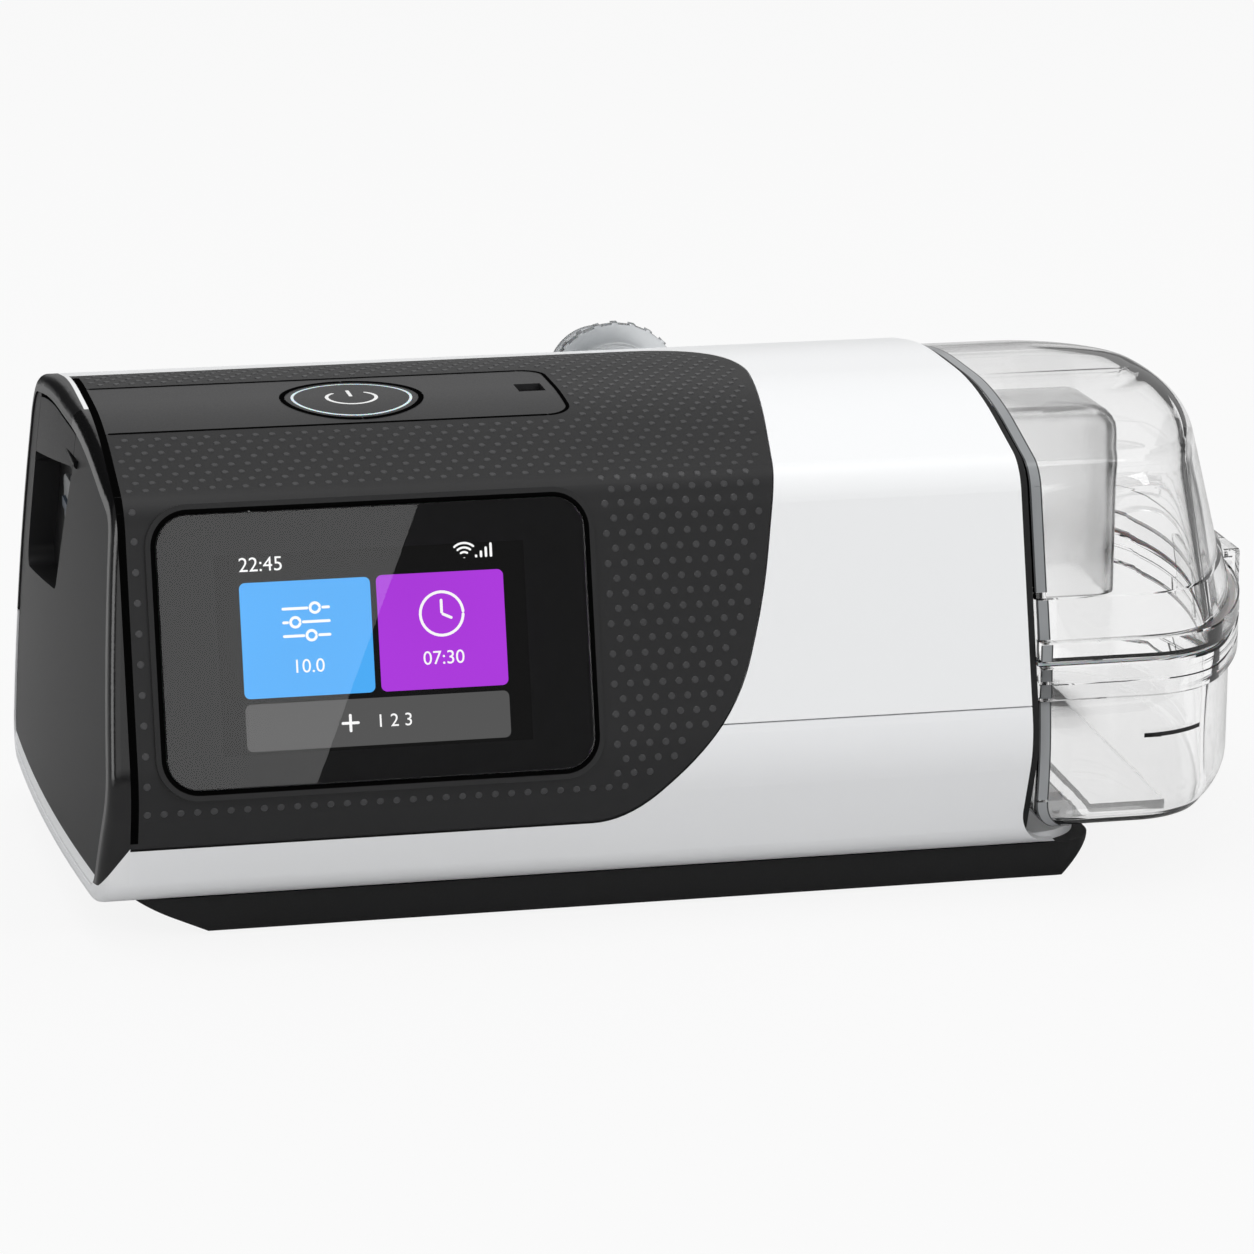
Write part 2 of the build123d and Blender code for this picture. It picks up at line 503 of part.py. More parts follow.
# ---- water tub: base -----------------------------------------------------------------------------
BASE_TOP_Z = LID_SPLIT - 0.5
FLANGE_LOW = 41.5
levels = [TUB_FLOOR, 13.4, 14.6, 16.5, TUB_FLOOR + TUCK_R, 25.0, 31.0, 37.0, 43.0, BASE_TOP_Z]
inner_floor = TUB_FLOOR + TUB_WALL
inner_levels = [inner_floor, 15.4, 16.6, 18.5, 21.0, 25.0, 31.0, 37.0, 43.0, LID_SPLIT + 1]
tub_outer = loft([base_face(z) for z in levels], ruled=True)
tub_inner = loft([base_face(z, -TUB_WALL, TUB_LEFT + TUB_WALL) for z in inner_levels], ruled=True)
base_flange = extrude(base_face(FLANGE_LOW, FLANGE), amount=BASE_TOP_Z - FLANGE_LOW)
tub_foot = block(84.5, 101, -50, 36, TUB_FLOOR - 2.0, TUB_FLOOR + 1)

# the heated foot reaches into the case and stands over the heater
foot_out = block(ex0, TUB_LEFT + 3.5, ey0, ey1, ez0, ez1)
foot_in = block(ex0 + 2, TUB_LEFT + 6, ey0 + 2, ey1 - 2, ez0 + 1.6, ez1 - 2)
heat_window = block(20.5, 55.5, -33.5, 25.5, ez0 - 1, ez0 + 3)

# hinge knuckles on the base and on the lid
hinge_y, hinge_z = HINGE
KNUCKLE_R = 2.4
BASE_KNUCKLES = (74.0, 96.0)
LID_KNUCKLES = (81.2, 89.2)
base_knuckles = [
    block(x, x + 7, 47, hinge_y, hinge_z - 4.5, hinge_z - 0.5) + rod_x(x, x + 7, hinge_y, hinge_z, KNUCKLE_R)
    for x in BASE_KNUCKLES
]
lid_knuckles = [
    block(x, x + 6.6, 47, hinge_y, hinge_z + 0.5, hinge_z + 4.5)
    + rod_x(x, x + 6.6, hinge_y, hinge_z, KNUCKLE_R)
    for x in LID_KNUCKLES
]
base_reliefs = [block(x - 0.4, x + 7.0, hinge_y - 3.2, hinge_y + 4, 40, hinge_z + 4) for x in LID_KNUCKLES]
lid_reliefs = [block(x - 0.4, x + 7.4, hinge_y - 3.2, hinge_y + 4, 40, hinge_z + 6) for x in BASE_KNUCKLES]
hinge_bore = rod_x(70, 110, hinge_y, hinge_z, 1.05)

# ears that carry the latch
latch_x, latch_z = LATCH_PIVOT
EAR = 1.2
ears = [block(123, 129.5, y, y + EAR, latch_z - 1.2, 45) for y in (-LATCH_HALF - EAR - 0.3, LATCH_HALF + 0.3)]
latch_bore = rod_y(latch_x, -LATCH_HALF - EAR - 0.15, LATCH_HALF + EAR + 0.15, latch_z, 0.66)
tub_base = (tub_outer + base_flange + tub_foot) - tub_inner + (foot_out - foot_in) - foot_in - heat_window
save("tub_base", ((tub_base - base_reliefs) + base_knuckles + ears) - hinge_bore - latch_bore)
heat_plate = block(18, 58, -36, 28, ez0 - 0.8, ez0) + block(20.8, 55.2, -33.2, 25.2, ez0 - 0.8, ez0 + 1.2)
save("tub_heat_plate", heat_plate)
save("lid_hinge_pin", rod_x(73.5, 103.5, hinge_y, hinge_z, 1.0))

# ---- water tub: lid ------------------------------------------------------------------------------
LID_LOW = LID_SPLIT + 0.3
lid_levels = [LID_LOW, 70.0, 80.0, 83.0, 85.5, 87.5, 89.5, 91.5, 93.0, 94.3, 95.2, 95.9, 96.3]
lid = loft([lid_face(z, 0, TUB_LEFT) for z in lid_levels], ruled=True)
skirt = loft([lid_face(z, SKIRT_STEP, TUB_LEFT) for z in (LID_LOW, SKIRT_TOP)], ruled=True)
lid_flange = extrude(base_face(LID_LOW, FLANGE), amount=4.3)
hollow_levels = [LID_LOW - 1] + [z - TUB_WALL for z in lid_levels[1:]]
lid_hollow = loft([lid_face(z, -TUB_WALL, TUB_LEFT + TUB_WALL) for z in hollow_levels], ruled=True)
port_holes = rod_x(60, 75, dry_y, dry_z, PORT_R) + rod_x(60, 75, humid_y, humid_z, PORT_R)
tub_lid = (lid + skirt + lid_flange) - lid_hollow - port_holes - lid_reliefs
save("tub_lid", (tub_lid + lid_knuckles) - hinge_bore)
seal_ring = extrude(base_face(LID_SPLIT - 0.35, FLANGE - 0.9), amount=0.6)
seal_hole = extrude(base_face(LID_SPLIT - 1, -TUB_WALL, TUB_LEFT + TUB_WALL), amount=3)
save("tub_seal", seal_ring - seal_hole - block(70, 105, 48, 60, 40, 60))

# ---- water tub: air duct hung in the lid ---------------------------------------------------------
duct_box = block(TUB_LEFT + TUB_WALL + 0.1, 99, -21, 9, 71.5, 90) + block(77, 99, -21, 9, 54, 90)
duct_box = fillet(duct_box.edges().filter_by(Axis.Z), 4)
duct_space = block(60, 97.2, -19.2, 7.2, 73.3, 88.2) + block(78.8, 97.2, -19.2, 7.2, 40, 88.2)
save("tub_air_duct", duct_box - duct_space)

# ---- water tub: latch ----------------------------------------------------------------------------
latch = block(128.1, HALF_WIDTH, -LATCH_HALF, LATCH_HALF, latch_z - 1.2, 56)
latch += block(126.2, HALF_WIDTH, -LATCH_HALF, LATCH_HALF, 53.95, 56)
latch = fillet(latch.edges().filter_by(Axis.X), 0.9)
save("tub_latch", latch + rod_y(latch_x, -LATCH_HALF - EAR, LATCH_HALF + EAR, latch_z, 0.6))

os.makedirs("parts", exist_ok=True)
for name, shape in PARTS.items():
    export_step(shape, f"parts/{name}.step")
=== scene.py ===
# %% [markdown]
# # A bedside breathing machine, dressed part by part
#
# The machine stands on a bedside table and blows gently warmed, moist air down a hose. Its mechanical
# parts are already fixed: each one is a closed solid with its place in its mesh. This lesson leaves
# them where they are, gives each its own plastic, glass, rubber or metal, and adds what a mould and a
# print shop add: hundreds of grip dots, a lit display, seams, prints and clear shells.

# %% Load the machine
import math

import bpy
import numpy as np
from mathutils import Matrix, Vector


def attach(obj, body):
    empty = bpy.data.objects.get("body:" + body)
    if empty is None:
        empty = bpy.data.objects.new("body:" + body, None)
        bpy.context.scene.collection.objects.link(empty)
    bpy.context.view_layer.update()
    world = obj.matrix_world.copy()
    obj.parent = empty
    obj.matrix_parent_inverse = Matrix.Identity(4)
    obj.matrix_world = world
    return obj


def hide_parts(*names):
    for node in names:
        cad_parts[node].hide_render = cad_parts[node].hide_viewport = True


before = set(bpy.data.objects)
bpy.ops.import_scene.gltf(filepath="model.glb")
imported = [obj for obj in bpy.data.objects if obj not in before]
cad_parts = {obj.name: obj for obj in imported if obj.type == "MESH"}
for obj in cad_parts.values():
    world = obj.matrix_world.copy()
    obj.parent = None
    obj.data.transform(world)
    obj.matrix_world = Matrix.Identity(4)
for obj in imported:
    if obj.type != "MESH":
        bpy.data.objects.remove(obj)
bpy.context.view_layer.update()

# %% [markdown]
# ## Millimetres in, metres out
#
# A product drawing speaks in millimetres and Blender in metres, so one number, `MM`, turns the one
# into the other wherever a size is written. Colours have the same problem: a paint chip is read as
# sRGB hex, while a shader wants linear light. `linear` does that once, for every colour in the file.

# %% Units and colours
MM = 0.001


def linear(hex_colour):
    """Linear RGBA of an sRGB hex colour: v / 12.92 up to 0.04045, else ((v + 0.055) / 1.055) ^ 2.4."""
    channels = np.array([int(hex_colour[i:i + 2], 16) for i in (1, 3, 5)]) / 255
    low, high = channels / 12.92, ((channels + 0.055) / 1.055) ** 2.4
    return (*np.where(channels <= 0.04045, low, high).tolist(), 1.0)


print("mid grey #808080 is", round(linear("#808080")[0], 3), "in linear light")

# %% [markdown]
# ## A camera at eye level with a bedside table
#
# A product is usually shown through a long lens from about a metre, because a long lens keeps its
# parallel edges nearly parallel. The camera is aimed with a matrix whose columns are its right, its
# up and its backward direction. That is easier to read than three angles, and takes a small roll.

# %% Camera
CAMERA_PLACE = Vector((-221.9, -1002.6, 326.8)) * MM
CAMERA_TARGET = Vector((-5.4, -10.2, 46.1)) * MM
CAMERA_LENS, SENSOR_WIDTH = 143.82, 36.0
CAMERA_ROLL = math.radians(0.209)
scene = bpy.context.scene


def put(name, data):
    """Object for a camera, lamp, mesh or text, linked into the scene."""
    made = bpy.data.objects.new(name, data)
    scene.collection.objects.link(made)
    return made


forward = (CAMERA_TARGET - CAMERA_PLACE).normalized()
level_right = forward.cross(Vector((0, 0, 1))).normalized()
level_up = level_right.cross(forward)
right = level_right * math.cos(CAMERA_ROLL) + level_up * math.sin(CAMERA_ROLL)
up = level_up * math.cos(CAMERA_ROLL) - level_right * math.sin(CAMERA_ROLL)
aim = Matrix((right, up, -forward)).transposed().to_4x4()

camera_data = bpy.data.cameras.new("studio_camera")
camera_data.lens, camera_data.sensor_width = CAMERA_LENS, SENSOR_WIDTH
camera_data.clip_start, camera_data.clip_end = 0.05, 20.0
scene.camera = put("studio_camera", camera_data)
scene.camera.matrix_world = Matrix.Translation(CAMERA_PLACE) @ aim
print("camera stands", round((CAMERA_TARGET - CAMERA_PLACE).length, 3), "m from the machine")

# %% [markdown]
# ## One function for nodes
#
# A material is a small graph. Written out node by node it hides what matters, so `add` makes one
# node, sets its properties and either fills or links each input. It knows nothing about any kind of
# node, and so every material below can be read as a list of what its surface does.

# %% Node and material helpers
def fill(node, inputs):
    """Gives each input a plain value, or links it to a socket or to a node's first working output."""
    for key, value in inputs.items():
        if isinstance(value, bpy.types.Node):
            value = next(socket for socket in value.outputs if socket.enabled)
        if isinstance(value, bpy.types.NodeSocket):
            node.id_data.links.new(value, node.inputs[key])
        else:
            node.inputs[key].default_value = value
    return node


def add(tree, kind, inputs=None, **settings):
    """One shader node with its settings and its inputs."""
    made = tree.nodes.new("ShaderNode" + kind)
    for name, value in settings.items():
        setattr(made, name, value)
    return fill(made, inputs or {})


def empty_material(name):
    """Material without nodes, and its node tree."""
    made = bpy.data.materials.new(name)
    made.use_nodes = True
    made.node_tree.nodes.clear()
    return made, made.node_tree


def new_material(name):
    """Material, its tree, its shader, which is joined to the output, and the Object coordinates."""
    made, tree = empty_material(name)
    shader = add(tree, "BsdfPrincipled")
    add(tree, "OutputMaterial", {"Surface": shader})
    return made, tree, shader, add(tree, "TexCoord").outputs["Object"]


def dress(material, *names):
    """Gives carried-over parts their material."""
    for name in names:
        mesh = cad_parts[name].data
        mesh.materials.clear()
        mesh.materials.append(material)


print("helpers ready:", add.__name__, new_material.__name__, dress.__name__)

# %% [markdown]
# ## Moulded plastics and rubber
#
# Housings like these are ABS, moulded in steel tools, and the plastic copies the grain of the tool:
# shallow on the white case, deeper on the black fascia. So the colours differ little from each other,
# and roughness and grain tell the parts apart. Every colour drifts slowly between two close values,
# because a surface that is exactly even looks like paint on a screen.

# %% Opaque plastics
DRIFT_MM = 55
# Real mould grain is a tenth of a millimetre or finer, which doesn't show from a metre away. So
# every grain below is drawn three times as coarse or more.


def moulded(name, colour, drift_tone, roughness, grain_mm, height_mm, ior=1.5):
    """Moulded plastic or rubber: a slow drift between two close colours, and a fine grain from the
    mould, as bump and in the roughness. Object coordinates place both."""
    made, tree, shader, place = new_material(name)
    drift = add(tree, "TexNoise", {"Vector": place, "Scale": 1 / (DRIFT_MM * MM), "Detail": 2.0})
    grain = add(tree, "TexNoise", {"Vector": place, "Scale": 1 / (grain_mm * MM), "Detail": 3.0})
    colours = {"Factor": drift, "A": linear(colour), "B": linear(drift_tone)}
    gloss = {"Value": grain, "From Min": 0.3, "From Max": 0.7,
             "To Min": roughness - 0.04, "To Max": roughness + 0.04}
    relief = {"Height": grain, "Distance": height_mm * MM}
    fill(shader, {"Base Color": add(tree, "Mix", colours, data_type="RGBA"), "IOR": ior,
                  "Roughness": add(tree, "MapRange", gloss), "Normal": add(tree, "Bump", relief)})
    return made


# satin, so that each edge carries one wide, soft highlight
dress(moulded("white_abs_satin_moulded", "#f3f4f5", "#eff0f2", 0.33, 0.35, 0.004), "lower_case")
# matt and deeply grained, so that the glass stands out from it
dress(moulded("black_abs_matt_textured", "#1d1d1e", "#212122", 0.5, 0.3, 0.008, 1.4),
      "front_fascia")
# a faint sheen that follows the dome of the end
dress(moulded("black_abs_side_cover", "#1f1f20", "#232324", 0.42, 0.3, 0.006, 1.25),
      "filter_cover")
# a smoother face, which looks a shade lighter than the fascia round it
dress(moulded("charcoal_abs_control_strip", "#29292a", "#2d2d2e", 0.42, 0.3, 0.005, 1.4),
      "control_strip", "start_button")
# dull, so that the foot of the case sinks into its own shadow
dress(moulded("black_abs_base_pan", "#101011", "#131314", 0.6, 0.4, 0.01, 1.4),
      "base_pan", "dock_bulkhead")
# a plain grey, seen only through slots
dress(moulded("grey_nylon_inner_parts", "#5e6063", "#56585b", 0.5, 0.4, 0.008),
      "dock_tray", "blower_lower", "blower_upper", "impeller", "inlet_muffler")
# soft rubber, with hardly a highlight
dress(moulded("dark_grey_rubber", "#2c2c2d", "#303031", 0.7, 0.4, 0.01), "rubber_feet")
# polished, so that it glints in the matt strip
dress(moulded("smoked_acrylic_window", "#0c0c0d", "#101011", 0.08, 0.6, 0.0005),
      "light_sensor_window")
# half matt, so that the cavity stays dark
dress(moulded("black_nylon_socket", "#1a1a1b", "#1e1e1f", 0.5, 0.3, 0.008), "power_socket")
# a mid grey that shows where the finger goes
dress(moulded("grey_abs_slot_bezel", "#77797b", "#7d7f81", 0.35, 0.3, 0.004), "card_slot_bezel")
# a hint of blue, which tells the card from the machine
dress(moulded("blue_grey_card_plastic", "#3a4657", "#3f4b5c", 0.4, 0.3, 0.004), "memory_card")
# mirrors nothing, so that the panel is black between its pictures
dress(moulded("black_polariser_film", "#040404", "#060606", 0.5, 1.0, 0.0, 1.0),
      "lcd_panel", "screen_gasket")
print("plastics given to", sum(len(node.data.materials) > 0 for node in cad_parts.values()))

# %% [markdown]
# ## Two colours on one part
#
# The housing's left end is moulded in two colours: white plastic is shot round a black end, and the
# line between them isn't where one part stops. Such a line is a plane in the part's own space. The
# dot product of a point with the plane's direction says how far along it the point lies, and a very
# steep ramp turns that into one colour or the other.

# %% Two-tone ends
CASE_LEFT, RING_SPLIT_X = -117.3, -118.3
RIM_LINE_Z, RIM_LINE_SLOPE, COVER_LINE_Z = 22.0, 1.43, 14.5
LINE_BLUR, END_GRAIN_MM, END_RELIEF_MM = 0.03, 0.3, 0.004
END_WHITE = "#f3f4f5"


def two_tone(name, direction, level_mm, below, above, roughness, ior=1.45):
    """Two plastics that meet in a plane: below where dot(point, direction) is under the level."""
    made, tree, shader, place = new_material(name)
    along = add(tree, "VectorMath", {0: place, 1: direction}, operation="DOT_PRODUCT")
    side = add(tree, "MapRange", {
        "Value": along.outputs["Value"],
        "From Min": (level_mm - LINE_BLUR) * MM, "From Max": (level_mm + LINE_BLUR) * MM})
    grain = add(tree, "TexNoise", {"Vector": place, "Scale": 1 / (END_GRAIN_MM * MM), "Detail": 3.0})
    colours = {"Factor": side, "A": linear(below), "B": linear(above)}
    relief = {"Height": grain, "Distance": END_RELIEF_MM * MM}
    fill(shader, {"Base Color": add(tree, "Mix", colours, data_type="RGBA"), "IOR": ior,
                  "Roughness": roughness, "Normal": add(tree, "Bump", relief)})
    return made


rim_level = RIM_LINE_Z - CASE_LEFT * RIM_LINE_SLOPE
# one sharp line down the case, with the same soft highlight on both sides of it
dress(two_tone("white_abs_with_black_end", (1.0, 0.0, 0.0), RING_SPLIT_X, "#1c1c1d", END_WHITE,
               0.33), "upper_case")
# polished black, which frames the matt end with a bright line
dress(two_tone("black_abs_polished_rim_and_white", (-RIM_LINE_SLOPE, 0.0, 1.0), rim_level,
               END_WHITE, "#0e0e0f", 0.2), "end_rim")
# matt black over a white foot, so that the white skirt seems to run on round the end
dress(two_tone("black_abs_cover_and_white", (0.0, 0.0, 1.0), COVER_LINE_Z, END_WHITE, "#1f1f20",
               0.42, 1.25), "side_cover")
print("two-tone ends made; the rim's line lies at", round(rim_level, 1), "mm along its direction")

# %% [markdown]
# ## Clear, frosted and soft plastics
#
# The water tub is polycarbonate, shot clear in a polished mould. Clear plastic has no colour of its
# own: what the eye sees is its edges, where light is bent far enough to show something else. So it is
# a full transmission shader with the plastic's real IOR, and only a very slow wave in its surface.
# Frosted parts are the same plastic from a sand-blasted mould, which is roughness. Silicone is milky:
# light goes in and comes out nearby, which is subsurface scattering.

# %% Clear and soft materials
POLYCARBONATE_IOR, GLASS_IOR, SILICONE_IOR = 1.585, 1.52, 1.41
TINT_MM = 12


def clear(name, colour, roughness, ior, wave_mm, height_mm):
    """Clear plastic or glass: full transmission, and a slow wave left by the mould, as bump."""
    made, tree, shader, place = new_material(name)
    waves = add(tree, "TexNoise", {"Vector": place, "Scale": 1 / (wave_mm * MM), "Detail": 1.0})
    fill(shader, {"Base Color": linear(colour), "Roughness": roughness, "IOR": ior,
                  "Transmission Weight": 1.0,
                  "Normal": add(tree, "Bump", {"Height": waves, "Distance": height_mm * MM})})
    return made


def milky(name, colour, drift_tone, roughness, depth_mm):
    """Silicone: a soft drift of tint, light scattered under the surface, and a dusty skin."""
    made, tree, shader, place = new_material(name)
    drift = add(tree, "TexNoise", {"Vector": place, "Scale": 1 / (TINT_MM * MM), "Detail": 2.0})
    colours = {"Factor": drift, "A": linear(colour), "B": linear(drift_tone)}
    fill(shader, {"Base Color": add(tree, "Mix", colours, data_type="RGBA"),
                  "Roughness": roughness, "IOR": SILICONE_IOR, "Subsurface Weight": 0.5,
                  "Subsurface Scale": depth_mm * MM, "Sheen Weight": 0.1})
    return made


# sharp dark edges round an almost unseen wall
clear_tub = clear("clear_polycarbonate_moulded", "#ffffff", 0.01, POLYCARBONATE_IOR, 35, 0.01)
# the same wall, but what lies behind it turns to soft grey
frosted_duct = clear("frosted_polycarbonate", "#ffffff", 0.2, POLYCARBONATE_IOR, 20, 0.02)
# a pale veil, so that the thick round wall shows as a solid thing
satin_outlet = clear("satin_clear_outlet", "#dfe2e4", 0.38, POLYCARBONATE_IOR, 20, 0.01)
# flat and hard, so that it mirrors the studio without a ripple
cover_glass = clear("toughened_cover_glass", "#ffffff", 0.0, GLASS_IOR, 60, 0.001)
# a soft glow at thin lips
silicone = milky("clear_silicone_rubber", "#d9dcde", "#cdd1d4", 0.45, 2.0)
# milk white without a hard edge, as if a lamp were behind it
light_guide = milky("white_acrylic_light_guide", "#f4f6f6", "#eceff0", 0.3, 1.5)
dress(clear_tub, "tub_base", "tub_lid", "tub_latch")
dress(satin_outlet, "outlet_connector", "outlet_collar")
dress(frosted_duct, "tub_air_duct")
dress(cover_glass, "screen_glass")
dress(silicone, "tub_seal", "dock_seals", "blower_mounts", "blower_duct", "humid_air_duct",
      "heater_pads")
dress(light_guide, "button_light_ring")
print("clear and soft plastics made")

# %% [markdown]
# ## Metals, boards and filter fleece
#
# Small metal parts are drawn or rolled, and that leaves fine lines along one direction: a noise that
# is stretched forty times along the part's length. A circuit board is green lacquer over copper
# tracks, which show as slightly lighter lanes. The filter is a pleated fleece. Both are one wave, and
# the fleece's is a real bump.

# %% Metals, boards, fleece
LINE_STRETCH, LINE_RELIEF_MM = 40, 0.004
WAVE_LENGTH = 0.314  # one wave takes 0.314 / Scale metres
# Real drawing lines lie some hundredths of a millimetre apart, and real tracks a third of one. Both
# are drawn about four times as coarse, so that they show. The fleece's pleats have their real pitch.


def drawn_metal(name, colour, roughness, line_mm, along):
    """Drawn or rolled metal: noise squeezed across the drawing, in roughness and bump."""
    made, tree, shader, place = new_material(name)
    stretch = [1.0 if axis == along else LINE_STRETCH for axis in "XYZ"]
    lines = add(tree, "TexNoise", {
        "Vector": add(tree, "Mapping", {"Vector": place, "Scale": stretch}),
        "Scale": 1 / (LINE_STRETCH * line_mm * MM), "Detail": 3.0})
    gloss = {"Value": lines, "To Min": roughness - 0.08, "To Max": roughness + 0.1}
    fill(shader, {"Base Color": linear(colour), "Metallic": 1.0,
                  "Roughness": add(tree, "MapRange", gloss),
                  "Normal": add(tree, "Bump", {"Height": lines, "Distance": LINE_RELIEF_MM * MM})})
    return made


def waved(name, base, lane, pitch_mm, roughness, relief_mm, ragged):
    """Lacquered board or pleated fleece: a ragged wave of the given pitch, as tint and bump."""
    made, tree, shader, place = new_material(name)
    wave = add(tree, "TexWave", {"Vector": place, "Scale": WAVE_LENGTH / (pitch_mm * MM),
                                 "Distortion": ragged, "Detail": 2.0}).outputs["Fac"]
    colours = {"Factor": wave, "A": linear(base), "B": linear(lane)}
    fill(shader, {"Base Color": add(tree, "Mix", colours, data_type="RGBA"),
                  "Roughness": roughness,
                  "Normal": add(tree, "Bump", {"Height": wave, "Distance": relief_mm * MM})})
    return made


# bright, with a highlight that is drawn out across the lines
dress(drawn_metal("stainless_steel_drawn", "#c3c3c5", 0.28, 0.12, "X"),
      "case_screws", "motor_shaft", "motor_bearings", "blower_motor", "lid_hinge_pin")
# greyer and broader in its shine, as sheet is
dress(drawn_metal("stainless_steel_rolled", "#bcbcbe", 0.34, 0.15, "Y"),
      "card_socket", "tub_heat_plate")
# paler and softer than steel
dress(drawn_metal("aluminium_rolled", "#d2d3d5", 0.36, 0.15, "Y"), "heater_plate")
# warm yellow points in a black socket
dress(drawn_metal("plated_brass", "#d8b45c", 0.25, 0.1, "Y"), "power_contacts")
# nearly black, so that the pin hides in its hinge
dress(drawn_metal("blackened_steel_pin", "#1d1d1e", 0.45, 0.12, "Y"), "filter_cover_pin")
# glossy green with faint tracks
dress(waved("green_lacquered_board", "#0d4a2b", "#14603a", 1.2, 0.35, 0.03, 2.0),
      "display_board", "control_board", "main_board")
# dull white folds, each with its own shadow
dress(waved("white_pleated_filter_fleece", "#e6e8e9", "#d3d6d8", 2.4, 0.95, 0.5, 0.6),
      "air_filter")
print("metals, boards and fleece made")

# %% [markdown]
# ## Arrays into meshes
#
# Every new piece below is a surface of two parameters on a grid. numpy works out all its points at
# once, and `foreach_set` hands them to the mesh in one go, which is far quicker than a loop over
# vertices. The grid's rows are joined by quads; a row may be closed into a ring, and the last ring
# may be closed by a pole.

# %% Mesh helpers
def grid_faces(rows, columns, closed):
    """Quads between neighbouring points of a grid; closed joins each row's last point to its first."""
    across = columns if closed else columns - 1
    row, column = np.meshgrid(np.arange(rows - 1), np.arange(across), indexing="ij")
    here, there = row * columns + column, row * columns + (column + 1) % columns
    return np.stack([here, there, there + columns, here + columns], -1).reshape(-1, 4)


def make_mesh(name, points, faces):
    """Mesh from an array of points in millimetres and a list of arrays of faces, each with its own
    corner count. Loops and starts are written as flat arrays."""
    mesh = bpy.data.meshes.new(name)
    points = np.asarray(points, float).reshape(-1, 3) * MM
    corners = np.concatenate([part.ravel() for part in faces]).astype(np.int32)
    counts = np.concatenate([np.full(len(part), part.shape[1]) for part in faces])
    starts = np.concatenate([[0], np.cumsum(counts)[:-1]]).astype(np.int32)
    mesh.vertices.add(len(points))
    mesh.vertices.foreach_set("co", points.ravel())
    mesh.loops.add(len(corners))
    mesh.loops.foreach_set("vertex_index", corners)
    mesh.polygons.add(len(counts))
    mesh.polygons.foreach_set("loop_start", starts)
    mesh.update(calc_edges=True)
    mesh.validate()
    return mesh


def make_piece(name, mesh, material, body, slot, smooth_degrees=None):
    """Object for a mesh, at the origin, riding on a body. Edges past the given angle stay crisp."""
    made = put(name, mesh)
    mesh.materials.append(material)
    if smooth_degrees is not None:
        mesh.polygons.foreach_set("use_smooth", np.ones(len(mesh.polygons), bool))
        mesh.set_sharp_from_angle(angle=math.radians(smooth_degrees))
    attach(made, body)
    return made


def ribbon(name, rows, closed, *finish):
    """Piece of one strip of quads between two lines of points; finish is what make_piece takes."""
    faces = grid_faces(2, rows.shape[1], closed)
    return make_piece(name, make_mesh(name, rows, [faces]), *finish)


def closed_surface(name, rows, poles=None):
    """Closed mesh from rings of points (rows, columns, 3), shut at each end by a fan of triangles
    about a pole, or about the ring's middle. The sum of the signed volumes under its faces tells
    which way it faces, and it is turned if that is negative."""
    count, columns = rows.shape[:2]
    poles = [rows[0].mean(0), rows[-1].mean(0)] if poles is None else poles
    points = np.concatenate([rows.reshape(-1, 3), poles])
    here = np.arange(columns)
    there = (here + 1) % columns
    last = (count - 1) * columns
    start = np.stack([there, here, np.full(columns, count * columns)], -1)
    end = np.stack([last + here, last + there, np.full(columns, count * columns + 1)], -1)
    faces = [grid_faces(count, columns, True), start, end]
    one, two, three, four = points[faces[0]].transpose(1, 0, 2)
    if (one * (np.cross(two, three) + np.cross(three, four))).sum() < 0:
        faces = [part[:, ::-1] for part in faces]
    return make_mesh(name, points, faces)


print("helpers ready:", make_mesh.__name__, make_piece.__name__, closed_surface.__name__)

# %% [markdown]
# ## The case's profile, once more
#
# Bumps and prints have to lie on the case, so the lesson needs its cross-section too: seven corners
# and seven rounding radii, in millimetres, seen from the left. `rounded_outline` turns them into
# points, and `moved_in` gives the same outline a little further in, as a wall thickness does.

# %% Outline helpers and the case profile
CASE_CORNERS = np.array([
    (-60.2, 8.0), (-70.5, 33.5), (-55.6, 88.6), (-22.0, 98.2), (20.0, 98.0), (50.5, 92.8),
    (50.5, 8.0)])
CASE_RADII = np.array([9.0, 18.0, 9.5, 110.0, 150.0, 10.0, 10.0])
TOP_FROM_Z = 85


def unit(vectors):
    """Vectors (n, 2) scaled to a length of one."""
    return vectors / np.maximum(np.linalg.norm(vectors, axis=1), 1e-9)[:, None]


def around(turn):
    """Points of a circle of radius one at the given angles: (cos, sin)."""
    return np.stack([np.cos(turn), np.sin(turn)], -1)


def rounded_outline(corners, radii, steps=16):
    """Straight sides joined by arcs. An arc starts radius / tan(half) before its corner, where half
    is half of the corner's inner angle, and its centre lies radius / sin(half) along the bisector."""
    before = unit(np.roll(corners, 1, 0) - corners)
    after = unit(np.roll(corners, -1, 0) - corners)
    half = np.arccos((before * after).sum(1)) / 2
    centre = corners + unit(before + after) * (radii / np.sin(half))[:, None]
    start = corners + before * (radii / np.tan(half))[:, None] - centre
    stop = corners + after * (radii / np.tan(half))[:, None] - centre
    first = np.arctan2(start[:, 1], start[:, 0])
    sweep = (np.arctan2(stop[:, 1], stop[:, 0]) - first + np.pi) % (2 * np.pi) - np.pi
    turn = first[:, None] + sweep[:, None] * np.linspace(0, 1, steps)
    return (centre[:, None] + radii[:, None, None] * around(turn)).reshape(-1, 2)


def moved_in(corners, inset):
    """Corners of a clockwise outline whose sides all lie inset further in: each corner moves along
    the sum of its two sides' inward normals, over one plus the cosine between them."""
    along = unit(np.roll(corners, -1, 0) - corners)
    inward = np.stack([along[:, 1], -along[:, 0]], -1)
    last = np.roll(inward, 1, 0)
    return corners + inset * (inward + last) / (1 + (inward * last).sum(1))[:, None]


